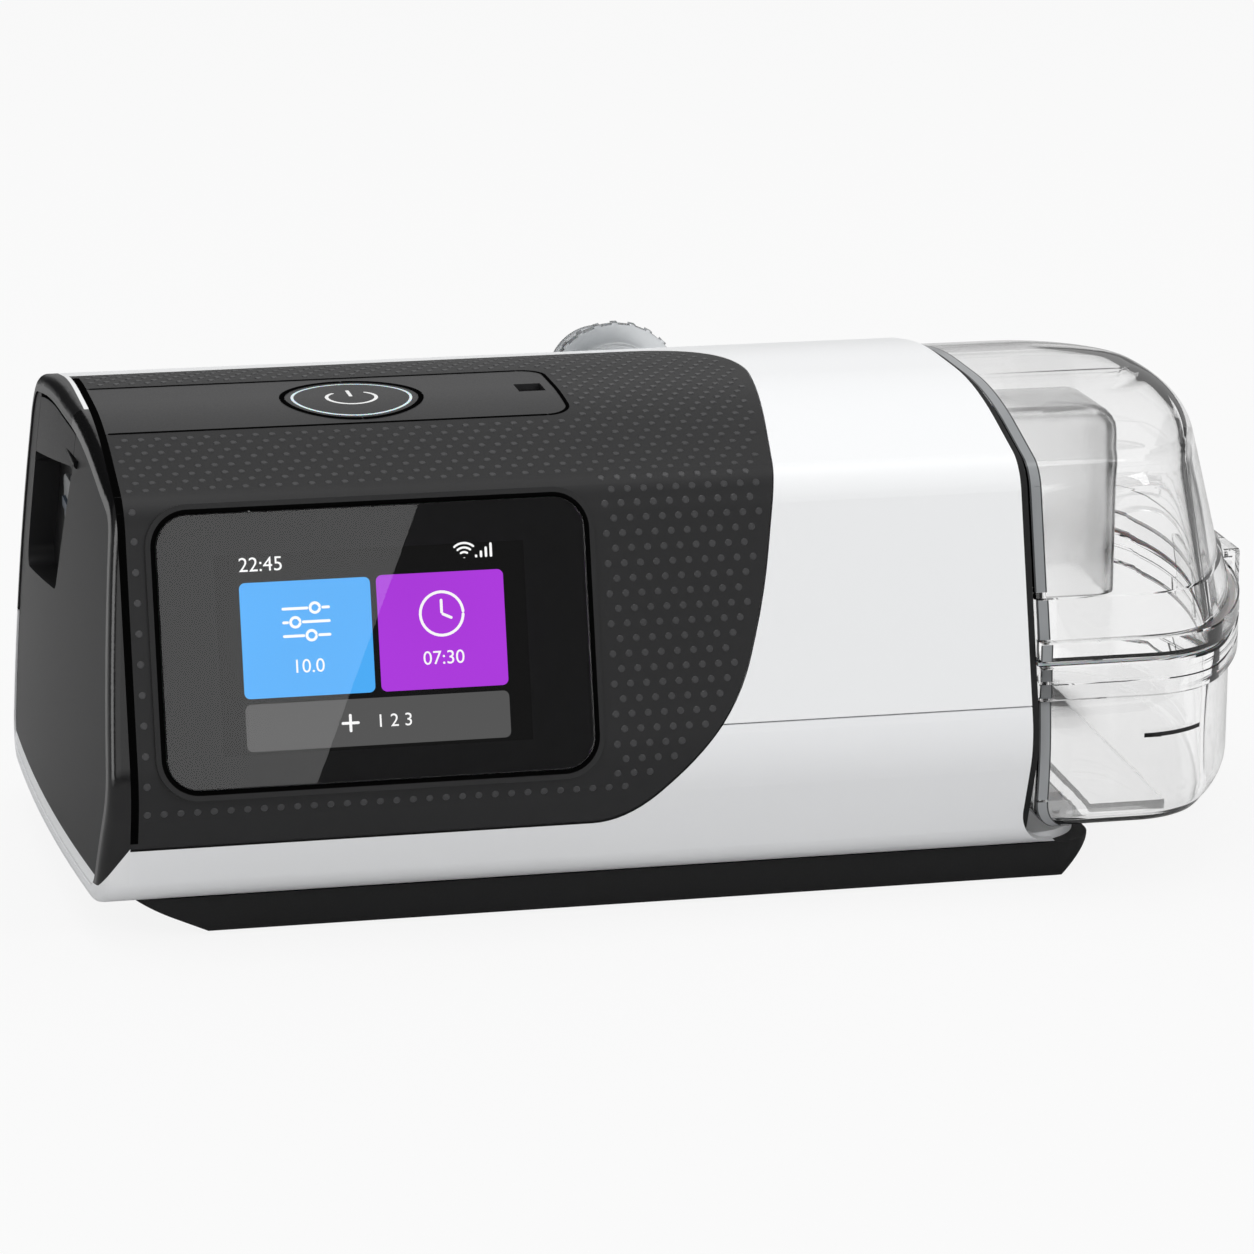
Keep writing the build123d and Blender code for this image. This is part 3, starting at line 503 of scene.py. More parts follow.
def case_outline(inset=0.0, steps=24):
    """The case's cross-section (y, z), evenly inset."""
    radii = np.maximum(CASE_RADII - inset, 1.0)
    return rounded_outline(moved_in(CASE_CORNERS, inset), radii, steps)


def distances(line):
    """How far each point of a line is from its start, along the line."""
    return np.concatenate([[0], np.cumsum(np.linalg.norm(np.diff(line, axis=0), axis=1))])


def points_at(line, along):
    """Points of a line at the given distances along it."""
    return np.stack([np.interp(along, distances(line), line[:, axis]) for axis in (0, 1)], -1)


def evenly(line, step):
    """A line's points placed anew, at even distances along it."""
    length = distances(line)[-1]
    return points_at(line, np.linspace(0, length, int(length / step) + 2))


def at_x(x, line):
    """Points (x, y, z) of a line (y, z) at x, which is one number, or one for each point."""
    return np.column_stack([x + 0 * line[:, 0], line])


def case_span(z, inset):
    """Front and rear y of the inset section at heights z, looked up on its front and rear halves."""
    outline = case_outline(inset)
    top = outline[:, 1].argmax()
    front = np.interp(z, outline[:top + 1, 1], outline[:top + 1, 0])
    return front, np.interp(z, outline[top:, 1][::-1], outline[top:, 0][::-1])


def top_height(y, inset):
    """Height of the inset section's top at y."""
    outline = case_outline(inset)
    upper = outline[outline[:, 1] > TOP_FROM_Z]
    return np.interp(y, upper[:, 0], upper[:, 1])


print("case section:", np.round(case_outline().min(0), 1), "to", np.round(case_outline().max(0), 1))

# %% [markdown]
# ## Grip dots on the black fascia
#
# The fascia is moulded with a field of low round dots. They could be a bump pattern, but a bump has
# no silhouette and no shadow, and these dots catch the light one by one. So each is real: a disc of
# ten sides with a sloping rim. Their places are a staggered grid on the unrolled case profile: x
# along the machine, and the distance along the profile. Dots that would fall on the screen's lip, on
# the control strip or over the fascia's edge are left out.

# %% Grip dots
# the fascia's outline in x and (y + z) / sqrt(2), so that its front and top unroll into one plane
FASCIA_CORNERS = np.array([(-140.0, 87.6), (25.7, 90.6), (11.3, 3.0), (0.3, -31.0), (-140.0, -31.0)])
FASCIA_RADII = np.array([1.0, 20.0, 100.0, 34.0, 1.0])
SCREEN_SIZE, SCREEN_MIDDLE = np.array([85.6, 54.2]), np.array([-67.4, 28.1])
STRIP_FRONT, STRIP_REAR, STRIP_END = -26.0, 8.5, -20.5
FRONT_FOOT = CASE_CORNERS[1]
FRONT_UP = (CASE_CORNERS[2] - FRONT_FOOT) / np.linalg.norm(CASE_CORNERS[2] - FRONT_FOOT)
DOT_PITCH, ROW_PITCH, FIELD_START, FIELD_END, PROBE = 3.3, 3.0, CASE_LEFT + 1.5, 30, 0.2
DOT_R, DOT_TOP_SHARE, DOT_HEIGHT, DOT_SUNK, DOT_SIDES = 0.8, 0.72, 0.13, 0.04, 10
FIRST_DOT, EDGE_MARGIN, LIP_CLEAR, STRIP_CLEAR = 3.0, 2.2, 3.6, 1.6
LOWEST_DOT_Z, LIP_TOP_Z, REARMOST_DOT_Y = 17, 92, 40


def inside(points, outline, margin):
    """Which points lie inside a closed outline, more than margin from it. A ray to the right crosses
    it an odd number of times; the nearest point of each side gives the distance."""
    start, side = outline[None], (np.roll(outline, -1, 0) - outline)[None]
    gap = points[:, None] - start
    above = points[:, None, 1]
    crossing = (start[..., 1] > above) != ((start + side)[..., 1] > above)
    slope = side[..., 0] / np.where(side[..., 1] == 0, 1e-9, side[..., 1])
    odd = (crossing & (gap[..., 0] < gap[..., 1] * slope)).sum(1) % 2 == 1
    along = np.clip((gap * side).sum(-1) / np.maximum((side ** 2).sum(-1), 1e-9), 0, 1)
    return odd & (np.linalg.norm(gap - along[..., None] * side, axis=-1).min(1) > margin)


def grip_dots():
    """Centres and outward normals of the dots that lie on the bare fascia."""
    outline = case_outline()
    row_at = np.arange(1.0, distances(outline)[-1], ROW_PITCH)
    stagger = (np.arange(len(row_at)) % 2)[:, None] * DOT_PITCH / 2
    x = (np.arange(FIELD_START, FIELD_END, DOT_PITCH) + stagger)[..., None]
    ahead = unit(points_at(outline, row_at + PROBE) - points_at(outline, row_at - PROBE))
    out = (np.stack([0 * row_at, -ahead[:, 1], ahead[:, 0]], -1)[:, None] + 0 * x).reshape(-1, 3)
    yz = points_at(outline, row_at)[:, None] + 0 * x
    centres = np.concatenate([x, yz], -1).reshape(-1, 3)
    x, y, z = centres.T
    unrolled = np.stack([x, (y + z) / math.sqrt(2)], -1)
    kept = inside(unrolled, rounded_outline(FASCIA_CORNERS, FASCIA_RADII), EDGE_MARGIN)
    kept &= (z > LOWEST_DOT_Z) & (y < REARMOST_DOT_Y) & (x > CASE_LEFT + FIRST_DOT)
    up = (centres[:, 1:] - FRONT_FOOT) @ FRONT_UP
    past_glass = np.abs(np.stack([x, up], -1) - SCREEN_MIDDLE) - SCREEN_SIZE / 2
    kept &= ~((past_glass < LIP_CLEAR).all(1) & (z < LIP_TOP_Z))
    kept &= ~((x < STRIP_END + STRIP_CLEAR) & (y > STRIP_FRONT - STRIP_CLEAR)
              & (y < STRIP_REAR + STRIP_CLEAR) & (z > TOP_FROM_Z))
    return centres[kept], out[kept]


dot_centres, dot_out = (part[:, None] for part in grip_dots())
turn = np.arange(DOT_SIDES)[:, None] * 2 * np.pi / DOT_SIDES
across = np.array([1.0, 0, 0])
circle = np.cos(turn) * across + np.sin(turn) * np.cross(dot_out, across)
dot_points = np.concatenate([
    dot_centres + circle * DOT_R * DOT_TOP_SHARE + dot_out * DOT_HEIGHT,
    dot_centres + circle * DOT_R - dot_out * DOT_SUNK], 1)
first = np.arange(len(dot_centres))[:, None] * 2 * DOT_SIDES
here, there = np.arange(DOT_SIDES), (np.arange(DOT_SIDES) + 1) % DOT_SIDES
walls = np.stack([here + DOT_SIDES, there + DOT_SIDES, there, here], -1)
walls = (first[:, :, None] + walls).reshape(-1, 4)
# smoothed by hands, so that each dot shines a little against the matt ground; its lighter colour,
# drifting at random between two tones, is painted highlight where each dot catches the light
dot_highlight_paint = moulded("black_abs_dot_tops_painted_highlight", "#29292a", "#424244", 0.4, 0.5, 0.002)
make_piece("fascia_grip_dots", make_mesh("fascia_grip_dots", dot_points, [first + here, walls]),
           dot_highlight_paint, "case", "fascia_black", 25)
print("grip dots:", len(dot_centres), "triangles:", len(dot_centres) * (3 * DOT_SIDES - 2))

# %% [markdown]
# ## Lines and figures on a surface
#
# Signs and seams are all strokes: a line with a width and round ends. `stroke` works in a flat plane,
# and a second function lays the plane on the machine: on the lit panel behind the cover glass, or on
# the crown of the start button. Digits come from Blender's own font, turned into a mesh first.

# %% Strokes
def stroke(line, width):
    """Strip of quads along a line (n, 2) with round ends: near an end the half width is a circle's."""
    line = np.asarray(line, float)
    length = distances(line)[-1]
    along = length * (1 - np.cos(np.linspace(0, np.pi, 49))) / 2
    line = points_at(line, along)
    ahead = unit(np.gradient(line, axis=0))
    from_end = np.clip(np.minimum(along, length - along) / (width / 2), 0, 1)
    half = width / 2 * np.sqrt(np.maximum(1 - (1 - from_end) ** 2, 0.01))
    side = np.stack([-ahead[:, 1], ahead[:, 0]], -1) * half[:, None]
    return np.stack([line + side, line - side], 1).reshape(-1, 2), grid_faces(len(line), 2, False)


def circle_line(x, y, radius, start=0, stop=360):
    """Points on part of a circle, angles in degrees."""
    return (x, y) + radius * around(np.radians(np.linspace(start, stop, 65)))


def final_mesh(*objects):
    """Mesh of the first object, its text or modifiers worked out; then all of them are removed."""
    bpy.context.view_layer.update()
    shown = objects[0].evaluated_get(bpy.context.evaluated_depsgraph_get())
    mesh = bpy.data.meshes.new_from_object(shown)
    for extra in objects:
        bpy.data.objects.remove(extra)
    return mesh


def figures(text, size, x, y):
    """Flat mesh of digits, centred on x and y."""
    curve = bpy.data.curves.new("figures", "FONT")
    curve.body, curve.size = text, size
    curve.align_x, curve.align_y = "CENTER", "CENTER"
    mesh = final_mesh(put("figures", curve))
    mesh.calc_loop_triangles()
    points = np.empty(len(mesh.vertices) * 3)
    mesh.vertices.foreach_get("co", points)
    faces = np.empty(len(mesh.loop_triangles) * 3, np.int32)
    mesh.loop_triangles.foreach_get("vertices", faces)
    return points.reshape(-1, 3)[:, :2] + (x, y), faces.reshape(-1, 3)


def flat_piece(name, shapes, lay, *finish):
    """Piece of several flat shapes (points, faces), laid on the machine by lay(x, y)."""
    starts = np.cumsum([0] + [len(flat) for flat, _ in shapes])
    points = np.concatenate([lay(*flat.T) for flat, _ in shapes])
    faces = [corners + start for (_, corners), start in zip(shapes, starts)]
    return make_piece(name, make_mesh(name, points, faces), *finish)


print("strokes ready:", len(stroke([(0, 0), (1, 0)], 0.2)[0]), "points each")

# %% [markdown]
# ## The cover glass
#
# The glass over the display is made anew with a narrow bevel, because a ground edge is the first
# thing that shines on a display. It is a closed surface of four rings: the back, the front of the
# straight wall, and two steps of the bevel, each the same rounded rectangle a little smaller.

# %% Cover glass
SCREEN_R = 6.5
GLASS_STEPS = ((0.0, 0.96), (0.0, -0.55), (0.08, -0.72), (0.25, -0.8))  # inset and depth
FRONT_OUT = np.array([-FRONT_UP[1], FRONT_UP[0]])


def on_panel(depth):
    """Function that lays x and the distance up the front on a plane below the front face."""
    def lay(x, up):
        return np.column_stack([x, FRONT_FOOT + up[:, None] * FRONT_UP - depth * FRONT_OUT])
    return lay


def rounded_rectangle(x0, x1, low, high, radius, steps=14):
    """Outline of a rectangle with rounded corners."""
    corners = np.array([(x0, low), (x0, high), (x1, high), (x1, low)])
    return rounded_outline(corners, np.full(4, radius), steps)


def glass_ring(inset, depth):
    """The glass outline, a little smaller by inset, at a depth below the front face."""
    low = SCREEN_MIDDLE - SCREEN_SIZE / 2 + inset
    high = SCREEN_MIDDLE + SCREEN_SIZE / 2 - inset
    flat = rounded_rectangle(low[0], high[0], low[1], high[1], SCREEN_R - inset)
    return on_panel(depth)(*flat.T)


glass_rows = np.stack([glass_ring(inset, depth) for inset, depth in GLASS_STEPS])
glass = make_piece("cover_glass_bevelled", closed_surface("cover_glass_bevelled", glass_rows),
                   cover_glass, "case", "screen_glass", 20)
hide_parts("screen_glass")
print("cover glass:", len(glass.data.polygons), "faces")

# %% [markdown]
# ## The lit panel behind the glass
#
# Real pixels glow, so the tiles are emitters of about the brightness of white paper, and the glass
# above them adds its own reflection. The glass's back carries a printed black border, and clear glue
# joins it to the panel, so that only its front face mirrors the room. That is why the border and the
# pictures lie a few hundredths of a millimetre inside the glass here.

# %% Lit panel
PANEL_DEPTH, BORDER_DEPTH, DARK_DEPTH, SIGN_DEPTH = 0.90, 0.91, 0.92, 0.88
LIT_AREA, LIT_R = (-99.0, -36.8, 7.1, 47.1), 0.3
BORDER_OVERLAP, BORDER_INSET = np.array([0.2, -0.2, 0.2, -0.2]), 0.2
TILE_R, TILE_GLOW, BACKLIGHT_MM, BACKLIGHT_DRIFT = 1.2, 0.95, 30, 0.06
TILES = (("screen_tile_left", (-94.1, -68.1, 18.4, 41.2), "lcd_sky_blue", "#4fb2ff"),
         ("screen_tile_right", (-66.9, -41.4, 18.4, 41.4), "lcd_violet", "#b23be4"),
         ("screen_tile_low", (-94.1, -41.4, 8.0, 17.3), "lcd_grey", "#575757"))


def glowing(name, colour, strength):
    """Lit pixels: emission that drifts a little over the panel, as a backlight does, and no gloss."""
    made, tree, shader, place = new_material(name)
    drift = add(tree, "TexNoise", {"Vector": place, "Scale": 1 / (BACKLIGHT_MM * MM), "Detail": 1.0})
    level = {"Value": drift, "To Min": strength * (1 - BACKLIGHT_DRIFT),
             "To Max": strength * (1 + BACKLIGHT_DRIFT)}
    fill(shader, {"Base Color": linear("#050505"), "Roughness": 0.6, "Specular IOR Level": 0.0,
                  "Emission Color": linear(colour),
                  "Emission Strength": add(tree, "MapRange", level)})
    return made


def tile(area, radius):
    """Rounded rectangle as one face."""
    outline = rounded_rectangle(*area, radius, 8)[::-1]
    return outline, np.arange(len(outline))[None]


# a trace of light from the dark pixels, so that the lit area is not as black as its border
flat_piece("screen_lit_area", [tile(LIT_AREA, LIT_R)], on_panel(DARK_DEPTH),
           glowing("lcd_dark_pixels", "#0b0b0b", 1.0), "case", "lcd")
# ink behind glass mirrors nothing of its own
border_ink = moulded("black_glass_back_print", "#222223", "#252526", 0.6, 1.0, 0.0, 1.0)
window = rounded_rectangle(*(LIT_AREA + BORDER_OVERLAP), LIT_R)
border_rows = np.stack([on_panel(BORDER_DEPTH)(*window.T), glass_ring(BORDER_INSET, BORDER_DEPTH)])
ribbon("screen_border_print", border_rows, True, border_ink, "case", "lcd")
# even, saturated light, and the only strong colours on the machine
for name, area, pixels, colour in TILES:
    flat_piece(name, [tile(area, TILE_R)], on_panel(PANEL_DEPTH),
               glowing(pixels, colour, TILE_GLOW), "case", "lcd")
print("lit panel:", len(TILES), "tiles and a border of", len(window), "points")

# %% [markdown]
# ## Household signs on the tiles
#
# The pictures are plain household ones: three sliders, a clock face, a plus sign, digits and signal
# bars. Each is a few strokes and arcs in the panel's own coordinates, x along the machine and the
# distance up the front, so that they can be drawn as on squared paper.

# %% Screen pictures
LINE, BAR, WAVE, POINT = 0.55, 0.5, 0.42, 0.6
slider_x, slider_up = -81.1, 33.0
clock_x, clock_up = clock = (-54.1, 33.2)
lines = []
for up, knob in ((2.7, 1.8), (0.0, -2.2), (-2.7, 0.9)):
    row, middle = slider_up + up, slider_x + knob
    lines += [[(slider_x - 4.8, row), (middle - 1.3, row)],
              [(middle + 1.3, row), (slider_x + 4.8, row)], circle_line(middle, row, 0.95)]
lines += [circle_line(clock_x, clock_up, 4.3), [clock, (clock_x, clock_up + 2.9)],
          [clock, (clock_x + 2.1, clock_up - 1.0)],
          [(-75.2, 12.6), (-71.6, 12.6)], [(-73.4, 10.8), (-73.4, 14.4)]]
marks = [stroke(line, LINE) for line in lines]
marks += [stroke([(-46.6 + i, 43.9), (-46.6 + i, 44.5 + 0.75 * i)], BAR) for i in range(4)]
marks += [stroke(circle_line(-49.0, 44.0, radius, 45, 135), WAVE) for radius in (1.1, 2.0, 2.9)]
marks += [stroke([(-49.0, 43.9), (-49.0, 44.05)], POINT)]
marks += [figures("22:45", 4.0, -89.6, 44.6), figures("10.0", 3.8, -81.1, 24.2),
          figures("07:30", 3.8, -54.1, 24.4), figures("1 2 3", 3.6, -64.6, 12.6)]
# full white, so that the signs are what the eye reads first
flat_piece("screen_pictures", marks, on_panel(SIGN_DEPTH),
           glowing("lcd_white_pixels", "#ffffff", 1.0), "case", "lcd")
print("screen pictures:", len(marks))

# %% [markdown]
# ## The start button's sign
#
# The sign for standby is a broken circle with a bar through its gap. It is printed in white on the
# button's crown, so it is a sheet that lies a few hundredths of a millimetre above it and rides on
# the button, which travels when it is pressed.

# %% Start sign
BUTTON_X, BUTTON_Y = BUTTON = (-63.3, -9.2)
BUTTON_CROWN_INSET, SIGN_R, SIGN_WIDTH = 0.1, 5.1, 0.75
PRINT_LIFT = 0.03


def on_top(inset):
    """Function that lays x and y on the case's top, inset and lifted by a print's thickness."""
    def lay(x, y):
        return np.column_stack([x, y, top_height(y, inset) + PRINT_LIFT])
    return lay


# thick ink with a dry surface, so that a sign is plain from any side
white_ink = moulded("white_pad_print", "#f2f2f2", "#eeeeee", 0.55, 0.4, 0.003)
black_ink = moulded("black_pad_print", "#0a0a0a", "#0c0c0c", 0.55, 0.4, 0.003)
sign = [circle_line(*BUTTON, SIGN_R, 128, 412),
        [(BUTTON_X, BUTTON_Y + 0.6), (BUTTON_X, BUTTON_Y + 6.2)]]
flat_piece("start_button_sign", [stroke(line, SIGN_WIDTH) for line in sign],
           on_top(BUTTON_CROWN_INSET), white_ink, "button", "light_ring")
print("start sign laid at z", round(float(top_height(BUTTON_Y, BUTTON_CROWN_INSET)), 2))

# %% [markdown]
# ## Seams round the strip, the button and the glass
#
# Two parts never meet without a gap, and the gap is the darkest line on a housing, as no light finds
# its way out of it. Modelled at its true third of a millimetre it would vanish at this distance, so a
# black line of nearly a millimetre is laid over each, and the eye reads it as a gap with soft edges.

# %% Seams
STRIP_R, BUTTON_SEAM_R = 5.0, 14.3
SEAM_WIDTH, GLASS_GAP, LIP_HEIGHT, SEAM_START = 0.8, (0.05, 0.95), 0.5, CASE_LEFT + 1.9
bend_x = STRIP_END - STRIP_R
strip_end = np.concatenate([circle_line(bend_x, STRIP_FRONT + STRIP_R, STRIP_R, 270, 360),
                            circle_line(bend_x, STRIP_REAR - STRIP_R, STRIP_R, 0, 90)])
seams = [stroke(line, SEAM_WIDTH) for line in (
    [(SEAM_START, STRIP_FRONT), (bend_x, STRIP_FRONT)],
    [(SEAM_START, STRIP_REAR), (bend_x, STRIP_REAR)], strip_end)]
seams += [stroke(circle_line(*BUTTON, BUTTON_SEAM_R, start, start + 90), SEAM_WIDTH * 1.4)
          for start in (0, 90, 180, 270)]
# painted shade of a gap, which is deeper than it is wide, so that it mirrors nothing from any side
gap_shadow = moulded("painted_shade_of_a_narrow_gap", "#050505", "#070707", 0.9, 1.0, 0.0, 1.0)
flat_piece("strip_and_button_seams", seams, on_top(0.0), gap_shadow, "case", "fascia_black")
glass_gap = np.stack([glass_ring(-out, -LIP_HEIGHT - PRINT_LIFT) for out in GLASS_GAP])
ribbon("glass_gap", glass_gap, True, gap_shadow, "case", "fascia_black")
print("seam lines:", len(seams), "and one round the glass")

# %% [markdown]
# ## The gap beside the end ring
#
# The fascia stops short of the ring at the left end and leaves a groove there, one and a half
# millimetres wide and too deep for light. It follows the whole front and top of the case, so its
# black strip is the case's own outline at two places along the machine, like a tape laid over it.

# %% Gap beside the end ring
RING_GAP_X, RING_GAP_FOOT, RING_GAP_REAR = (-115.8, -117.35), 22.0, 24.0
LINE_STEP = 1.5
gap_line = evenly(case_outline(-PRINT_LIFT), LINE_STEP)
gap_line = gap_line[(gap_line[:, 1] > RING_GAP_FOOT) & (gap_line[:, 0] < RING_GAP_REAR)]
ribbon("ring_gap", np.stack([at_x(x, gap_line) for x in RING_GAP_X]), False, gap_shadow, "case",
       "fascia_black", 40)
print("gap beside the ring:", len(gap_line), "points")

# %% [markdown]
# ## The clear tub: rings
#
# The tub is a closed container, so its mesh is one surface that starts at the middle of the floor
# outside, goes up the wall, over the rim and back down inside. Each step of that path is a ring: the
# tub's outline at one height, grown or shrunk. The wall has a real thickness, because clear plastic
# only looks thick where light meets both of its faces.

# %% Tub rings
TUB_LEFT, TUB_FRONT, TUB_REAR, TUB_END = 68.0, -64.4, 48.4, 125.5
END_BOW_R, CORNER_R, LEFT_R = 100.0, 20.0, 1.2
BOW_X = TUB_END - END_BOW_R
TUB_WALL, TUB_FLOOR, TUCK_R, TUCK_SHARE, BELLY, BELLY_RISE = 2.0, 12.8, 7.0, 0.6, 2.1, 36


def arc(x, y, radius, start, stop, steps):
    """Arcs, one for each ring: centre + radius * (cos, sin), evenly from start to stop."""
    parts = np.broadcast_arrays(x, y, radius, start, stop)
    x, y, radius, start, stop = (part[:, None] for part in parts)
    turn = start + (stop - start) * np.linspace(0, 1, steps)
    return np.stack([x + radius * np.cos(turn), y + radius * np.sin(turn)], -1)


def tub_rings(z, left, front, rear, end_r, corner_r, left_r=LEFT_R):
    """Rings (levels, columns, 3): a bowed right end about (BOW_X, 0), rounded right corners whose
    circles touch the bow from inside, straight front and rear, and small corners at the left."""
    corner_y, reach = np.stack([front + corner_r, rear - corner_r]), end_r - corner_r
    corner_x = BOW_X + np.sqrt(reach ** 2 - corner_y ** 2)
    front_turn, rear_turn = np.arctan2(corner_y, corner_x - BOW_X)
    quarter = np.pi / 2
    plan = np.concatenate([
        arc(left + left_r, front + left_r, left_r, -2 * quarter, -quarter, 5),
        arc(corner_x[0], corner_y[0], corner_r, -quarter, front_turn, 20),
        arc(BOW_X, 0, end_r, front_turn, rear_turn, 42)[:, 1:-1],
        arc(corner_x[1], corner_y[1], corner_r, rear_turn, quarter, 20),
        arc(left + left_r, rear - left_r, left_r, quarter, 2 * quarter, 5)], 1)
    return np.concatenate([plan, np.broadcast_to(z[:, None, None], (*plan.shape[:2], 1))], -1)


def belly_at(z):
    """How far the front swells at height z: half a sine wave over the base's height."""
    return BELLY * np.sin(np.pi * np.clip((z - TUB_FLOOR) / BELLY_RISE, 0, 1))


def base_rings(z, out):
    """Rings of the base at heights z, grown outwards by out; the front swells by the belly. Below the
    wall the outline tucks in by the full radius at the left, and by TUCK_SHARE of it elsewhere."""
    z, out = np.broadcast_arrays(z, out)
    left = TUB_LEFT + np.maximum(-out, 0)
    out = np.where(out < -TUB_WALL, -TUB_WALL + (out + TUB_WALL) * TUCK_SHARE, out)
    front = TUB_FRONT - belly_at(z) - out
    return tub_rings(z, left, front, TUB_REAR + out, END_BOW_R + out, CORNER_R + out)


print("ring helpers ready:", base_rings(np.array([30.0]), 0.0).shape[1], "points in a ring")

# %% [markdown]
# ## The path of the base's wall
#
# The outer bend under the wall is a quarter circle, and so is the inner one, a wall's thickness
# smaller. Between them the path goes up the outside, out over the flange with its groove for the
# seal, and down the inside, all as pairs of a height and a distance from the tub's outline.

# %% Tub base wall
FLANGE_OUT, SEAL_GROOVE_OUT = 1.8, 1.45
TUB_MIDDLE = (94.0, -8.0)
RIM = np.array([
    (41.3, 0.0), (41.55, 0.35), (41.6, 1.35), (42.0, FLANGE_OUT), (44.85, FLANGE_OUT),
    (45.0, SEAL_GROOVE_OUT), (45.4, SEAL_GROOVE_OUT), (45.55, FLANGE_OUT), (48.2, FLANGE_OUT),
    (48.6, 1.4), (48.6, -1.6), (48.2, -2.0)])
tuck_top, inner_r = TUB_FLOOR + TUCK_R, TUCK_R - TUB_WALL
bend = np.linspace(0, np.pi / 2, 9)
wall_z = np.linspace(tuck_top + 2, 40.8, 8)
base_z = np.concatenate([TUB_FLOOR + TUCK_R * (1 - np.cos(bend)), wall_z, RIM[:, 0], wall_z[::-1],
                         tuck_top - inner_r * np.cos(bend[::-1])])
base_out = np.concatenate([-TUCK_R * (1 - np.sin(bend)), 0 * wall_z, RIM[:, 1],
                           0 * wall_z - TUB_WALL, -TUCK_R + inner_r * np.sin(bend[::-1])])
floor_poles = [(*TUB_MIDDLE, TUB_FLOOR), (*TUB_MIDDLE, TUB_FLOOR + TUB_WALL)]
base_mesh = closed_surface("tub_base_clear", base_rings(base_z, base_out), floor_poles)
print("tub base:", len(base_mesh.vertices), "points in", len(base_z), "rings")

# %% [markdown]
# ## Joining and cutting closed shells
#
# A hinge knuckle or a foot is a simple solid that grows out of the shell. Joining it by hand would
# mean new faces round every crossing, and the boolean modifier works those out. It needs closed
# meshes on both sides. Its result is copied into a plain mesh, and the solids that made it are
# removed.

# %% Joining and cutting closed meshes
JOIN, CUT = "UNION", "DIFFERENCE"


def box_mesh(low, high):
    """Closed box between two corners, in millimetres."""
    pick = np.array([(i & 1, i >> 1 & 1, i >> 2 & 1) for i in range(8)])
    faces = np.array([(0, 4, 6, 2), (1, 3, 7, 5), (0, 1, 5, 4), (2, 6, 7, 3), (0, 2, 3, 1),
                      (4, 5, 7, 6)])
    return make_mesh("box", np.where(pick, high, low), [faces])


def rod_mesh(axis, start, stop, centre, radius, sides=40):
    """Closed round bar along axis 0 (x) or 1 (y); centre holds its other two coordinates."""
    ring = centre + radius * around(np.arange(sides) * 2 * np.pi / sides)
    return closed_surface("rod", np.stack([np.insert(ring, axis, at, 1) for at in (start, stop)]))


def worked(mesh, steps):
    """A closed mesh joined with or cut by others, one boolean after another, as a new mesh."""
    body = put("work", mesh)
    tools = [put("tool", tool_mesh) for _, tool_mesh in steps]
    for (operation, _), tool in zip(steps, tools):
        step = body.modifiers.new("step", "BOOLEAN")
        step.operation, step.solver, step.object = operation, "EXACT", tool
    return final_mesh(body, *tools)


print("a box has", len(box_mesh((0, 0, 0), (1, 1, 1)).polygons), "faces")

# %% [markdown]
# ## What grows out of the base
#
# The heated foot is a flat chamber that reaches into the machine and stands on its heater; its floor
# has a window for a steel plate, which carries the heat. Round bars along the rear edge are hinge
# knuckles: each stands on a web and turns in a relief that is cut from the other half. Two ears at
# the far end hold the latch's pin.

# %% Tub base
HINGE = HINGE_Y, HINGE_Z = 53.4, 49.1
KNUCKLE_R, PIN_BORE_R, BORE_X, SIDE_GAP = 2.4, 1.05, (70, 110), 0.4
BASE_KNUCKLES, LID_KNUCKLES = (74.0, 96.0), (81.2, 89.2)
BASE_KNUCKLE, LID_KNUCKLE = 7.0, 6.6
RELIEF_AHEAD, RELIEF_BEHIND, RELIEF_FOOT_Z = 3.2, 4, 40
WEB_NEAR, WEB_FAR = 0.5, 4.5  # how far a web's two edges are from the hinge's height
LATCH_PIN, LATCH_BORE_R, LATCH_REACH = (128.9, 42.6), 0.66, 11.65
EAR, EAR_Y = 1.2, (-11.5, 10.3)


def hinge_steps(own, long, others, relief_long, relief_top, web_y, web_z):
    """Reliefs for the other half's knuckles, then this half's own, each on its web."""
    steps = [(CUT, box_mesh((x - SIDE_GAP, HINGE_Y - RELIEF_AHEAD, RELIEF_FOOT_Z),
                            (x + relief_long, HINGE_Y + RELIEF_BEHIND, relief_top))) for x in others]
    for x in own:
        steps += [(JOIN, box_mesh((x, web_y, web_z[0]), (x + long, HINGE_Y, web_z[1]))),
                  (JOIN, rod_mesh(0, x, x + long, HINGE, KNUCKLE_R))]
    return steps


def pin_bore():
    """Bore for the hinge pin, from end to end of the knuckles."""
    return CUT, rod_mesh(0, *BORE_X, HINGE, PIN_BORE_R, 24)


base_steps = [
    (JOIN, box_mesh((12.0, -46.0, 16.0), (70.4, 36.0, 36.5))),  # heated foot
    (CUT, box_mesh((14.0, -44.0, 17.6), (73.0, 34.0, 34.5))),  # its inside
    (CUT, box_mesh((20.5, -33.5, 15.0), (55.5, 25.5, 19.0))),  # window for the steel plate
    (JOIN, box_mesh((84.5, -50.0, TUB_FLOOR - 2.0), (101.0, 36.0, TUB_FLOOR + 1.0)))]  # rest
base_steps += hinge_steps(BASE_KNUCKLES, BASE_KNUCKLE, LID_KNUCKLES, LID_KNUCKLE + SIDE_GAP, 53,
                          47.0, (HINGE_Z - WEB_FAR, HINGE_Z - WEB_NEAR))
base_steps += [(JOIN, box_mesh((123.0, y, 41.4), (129.5, y + EAR, 45.0))) for y in EAR_Y]
base_steps += [pin_bore(),
               (CUT, rod_mesh(1, -LATCH_REACH, LATCH_REACH, LATCH_PIN, LATCH_BORE_R, 20))]
tub_base = make_piece("tub_base_clear", worked(base_mesh, base_steps), clear_tub, "tub",
                      "clear_tub", 32)
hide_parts("tub_base")
print("tub base faces:", len(tub_base.data.polygons))

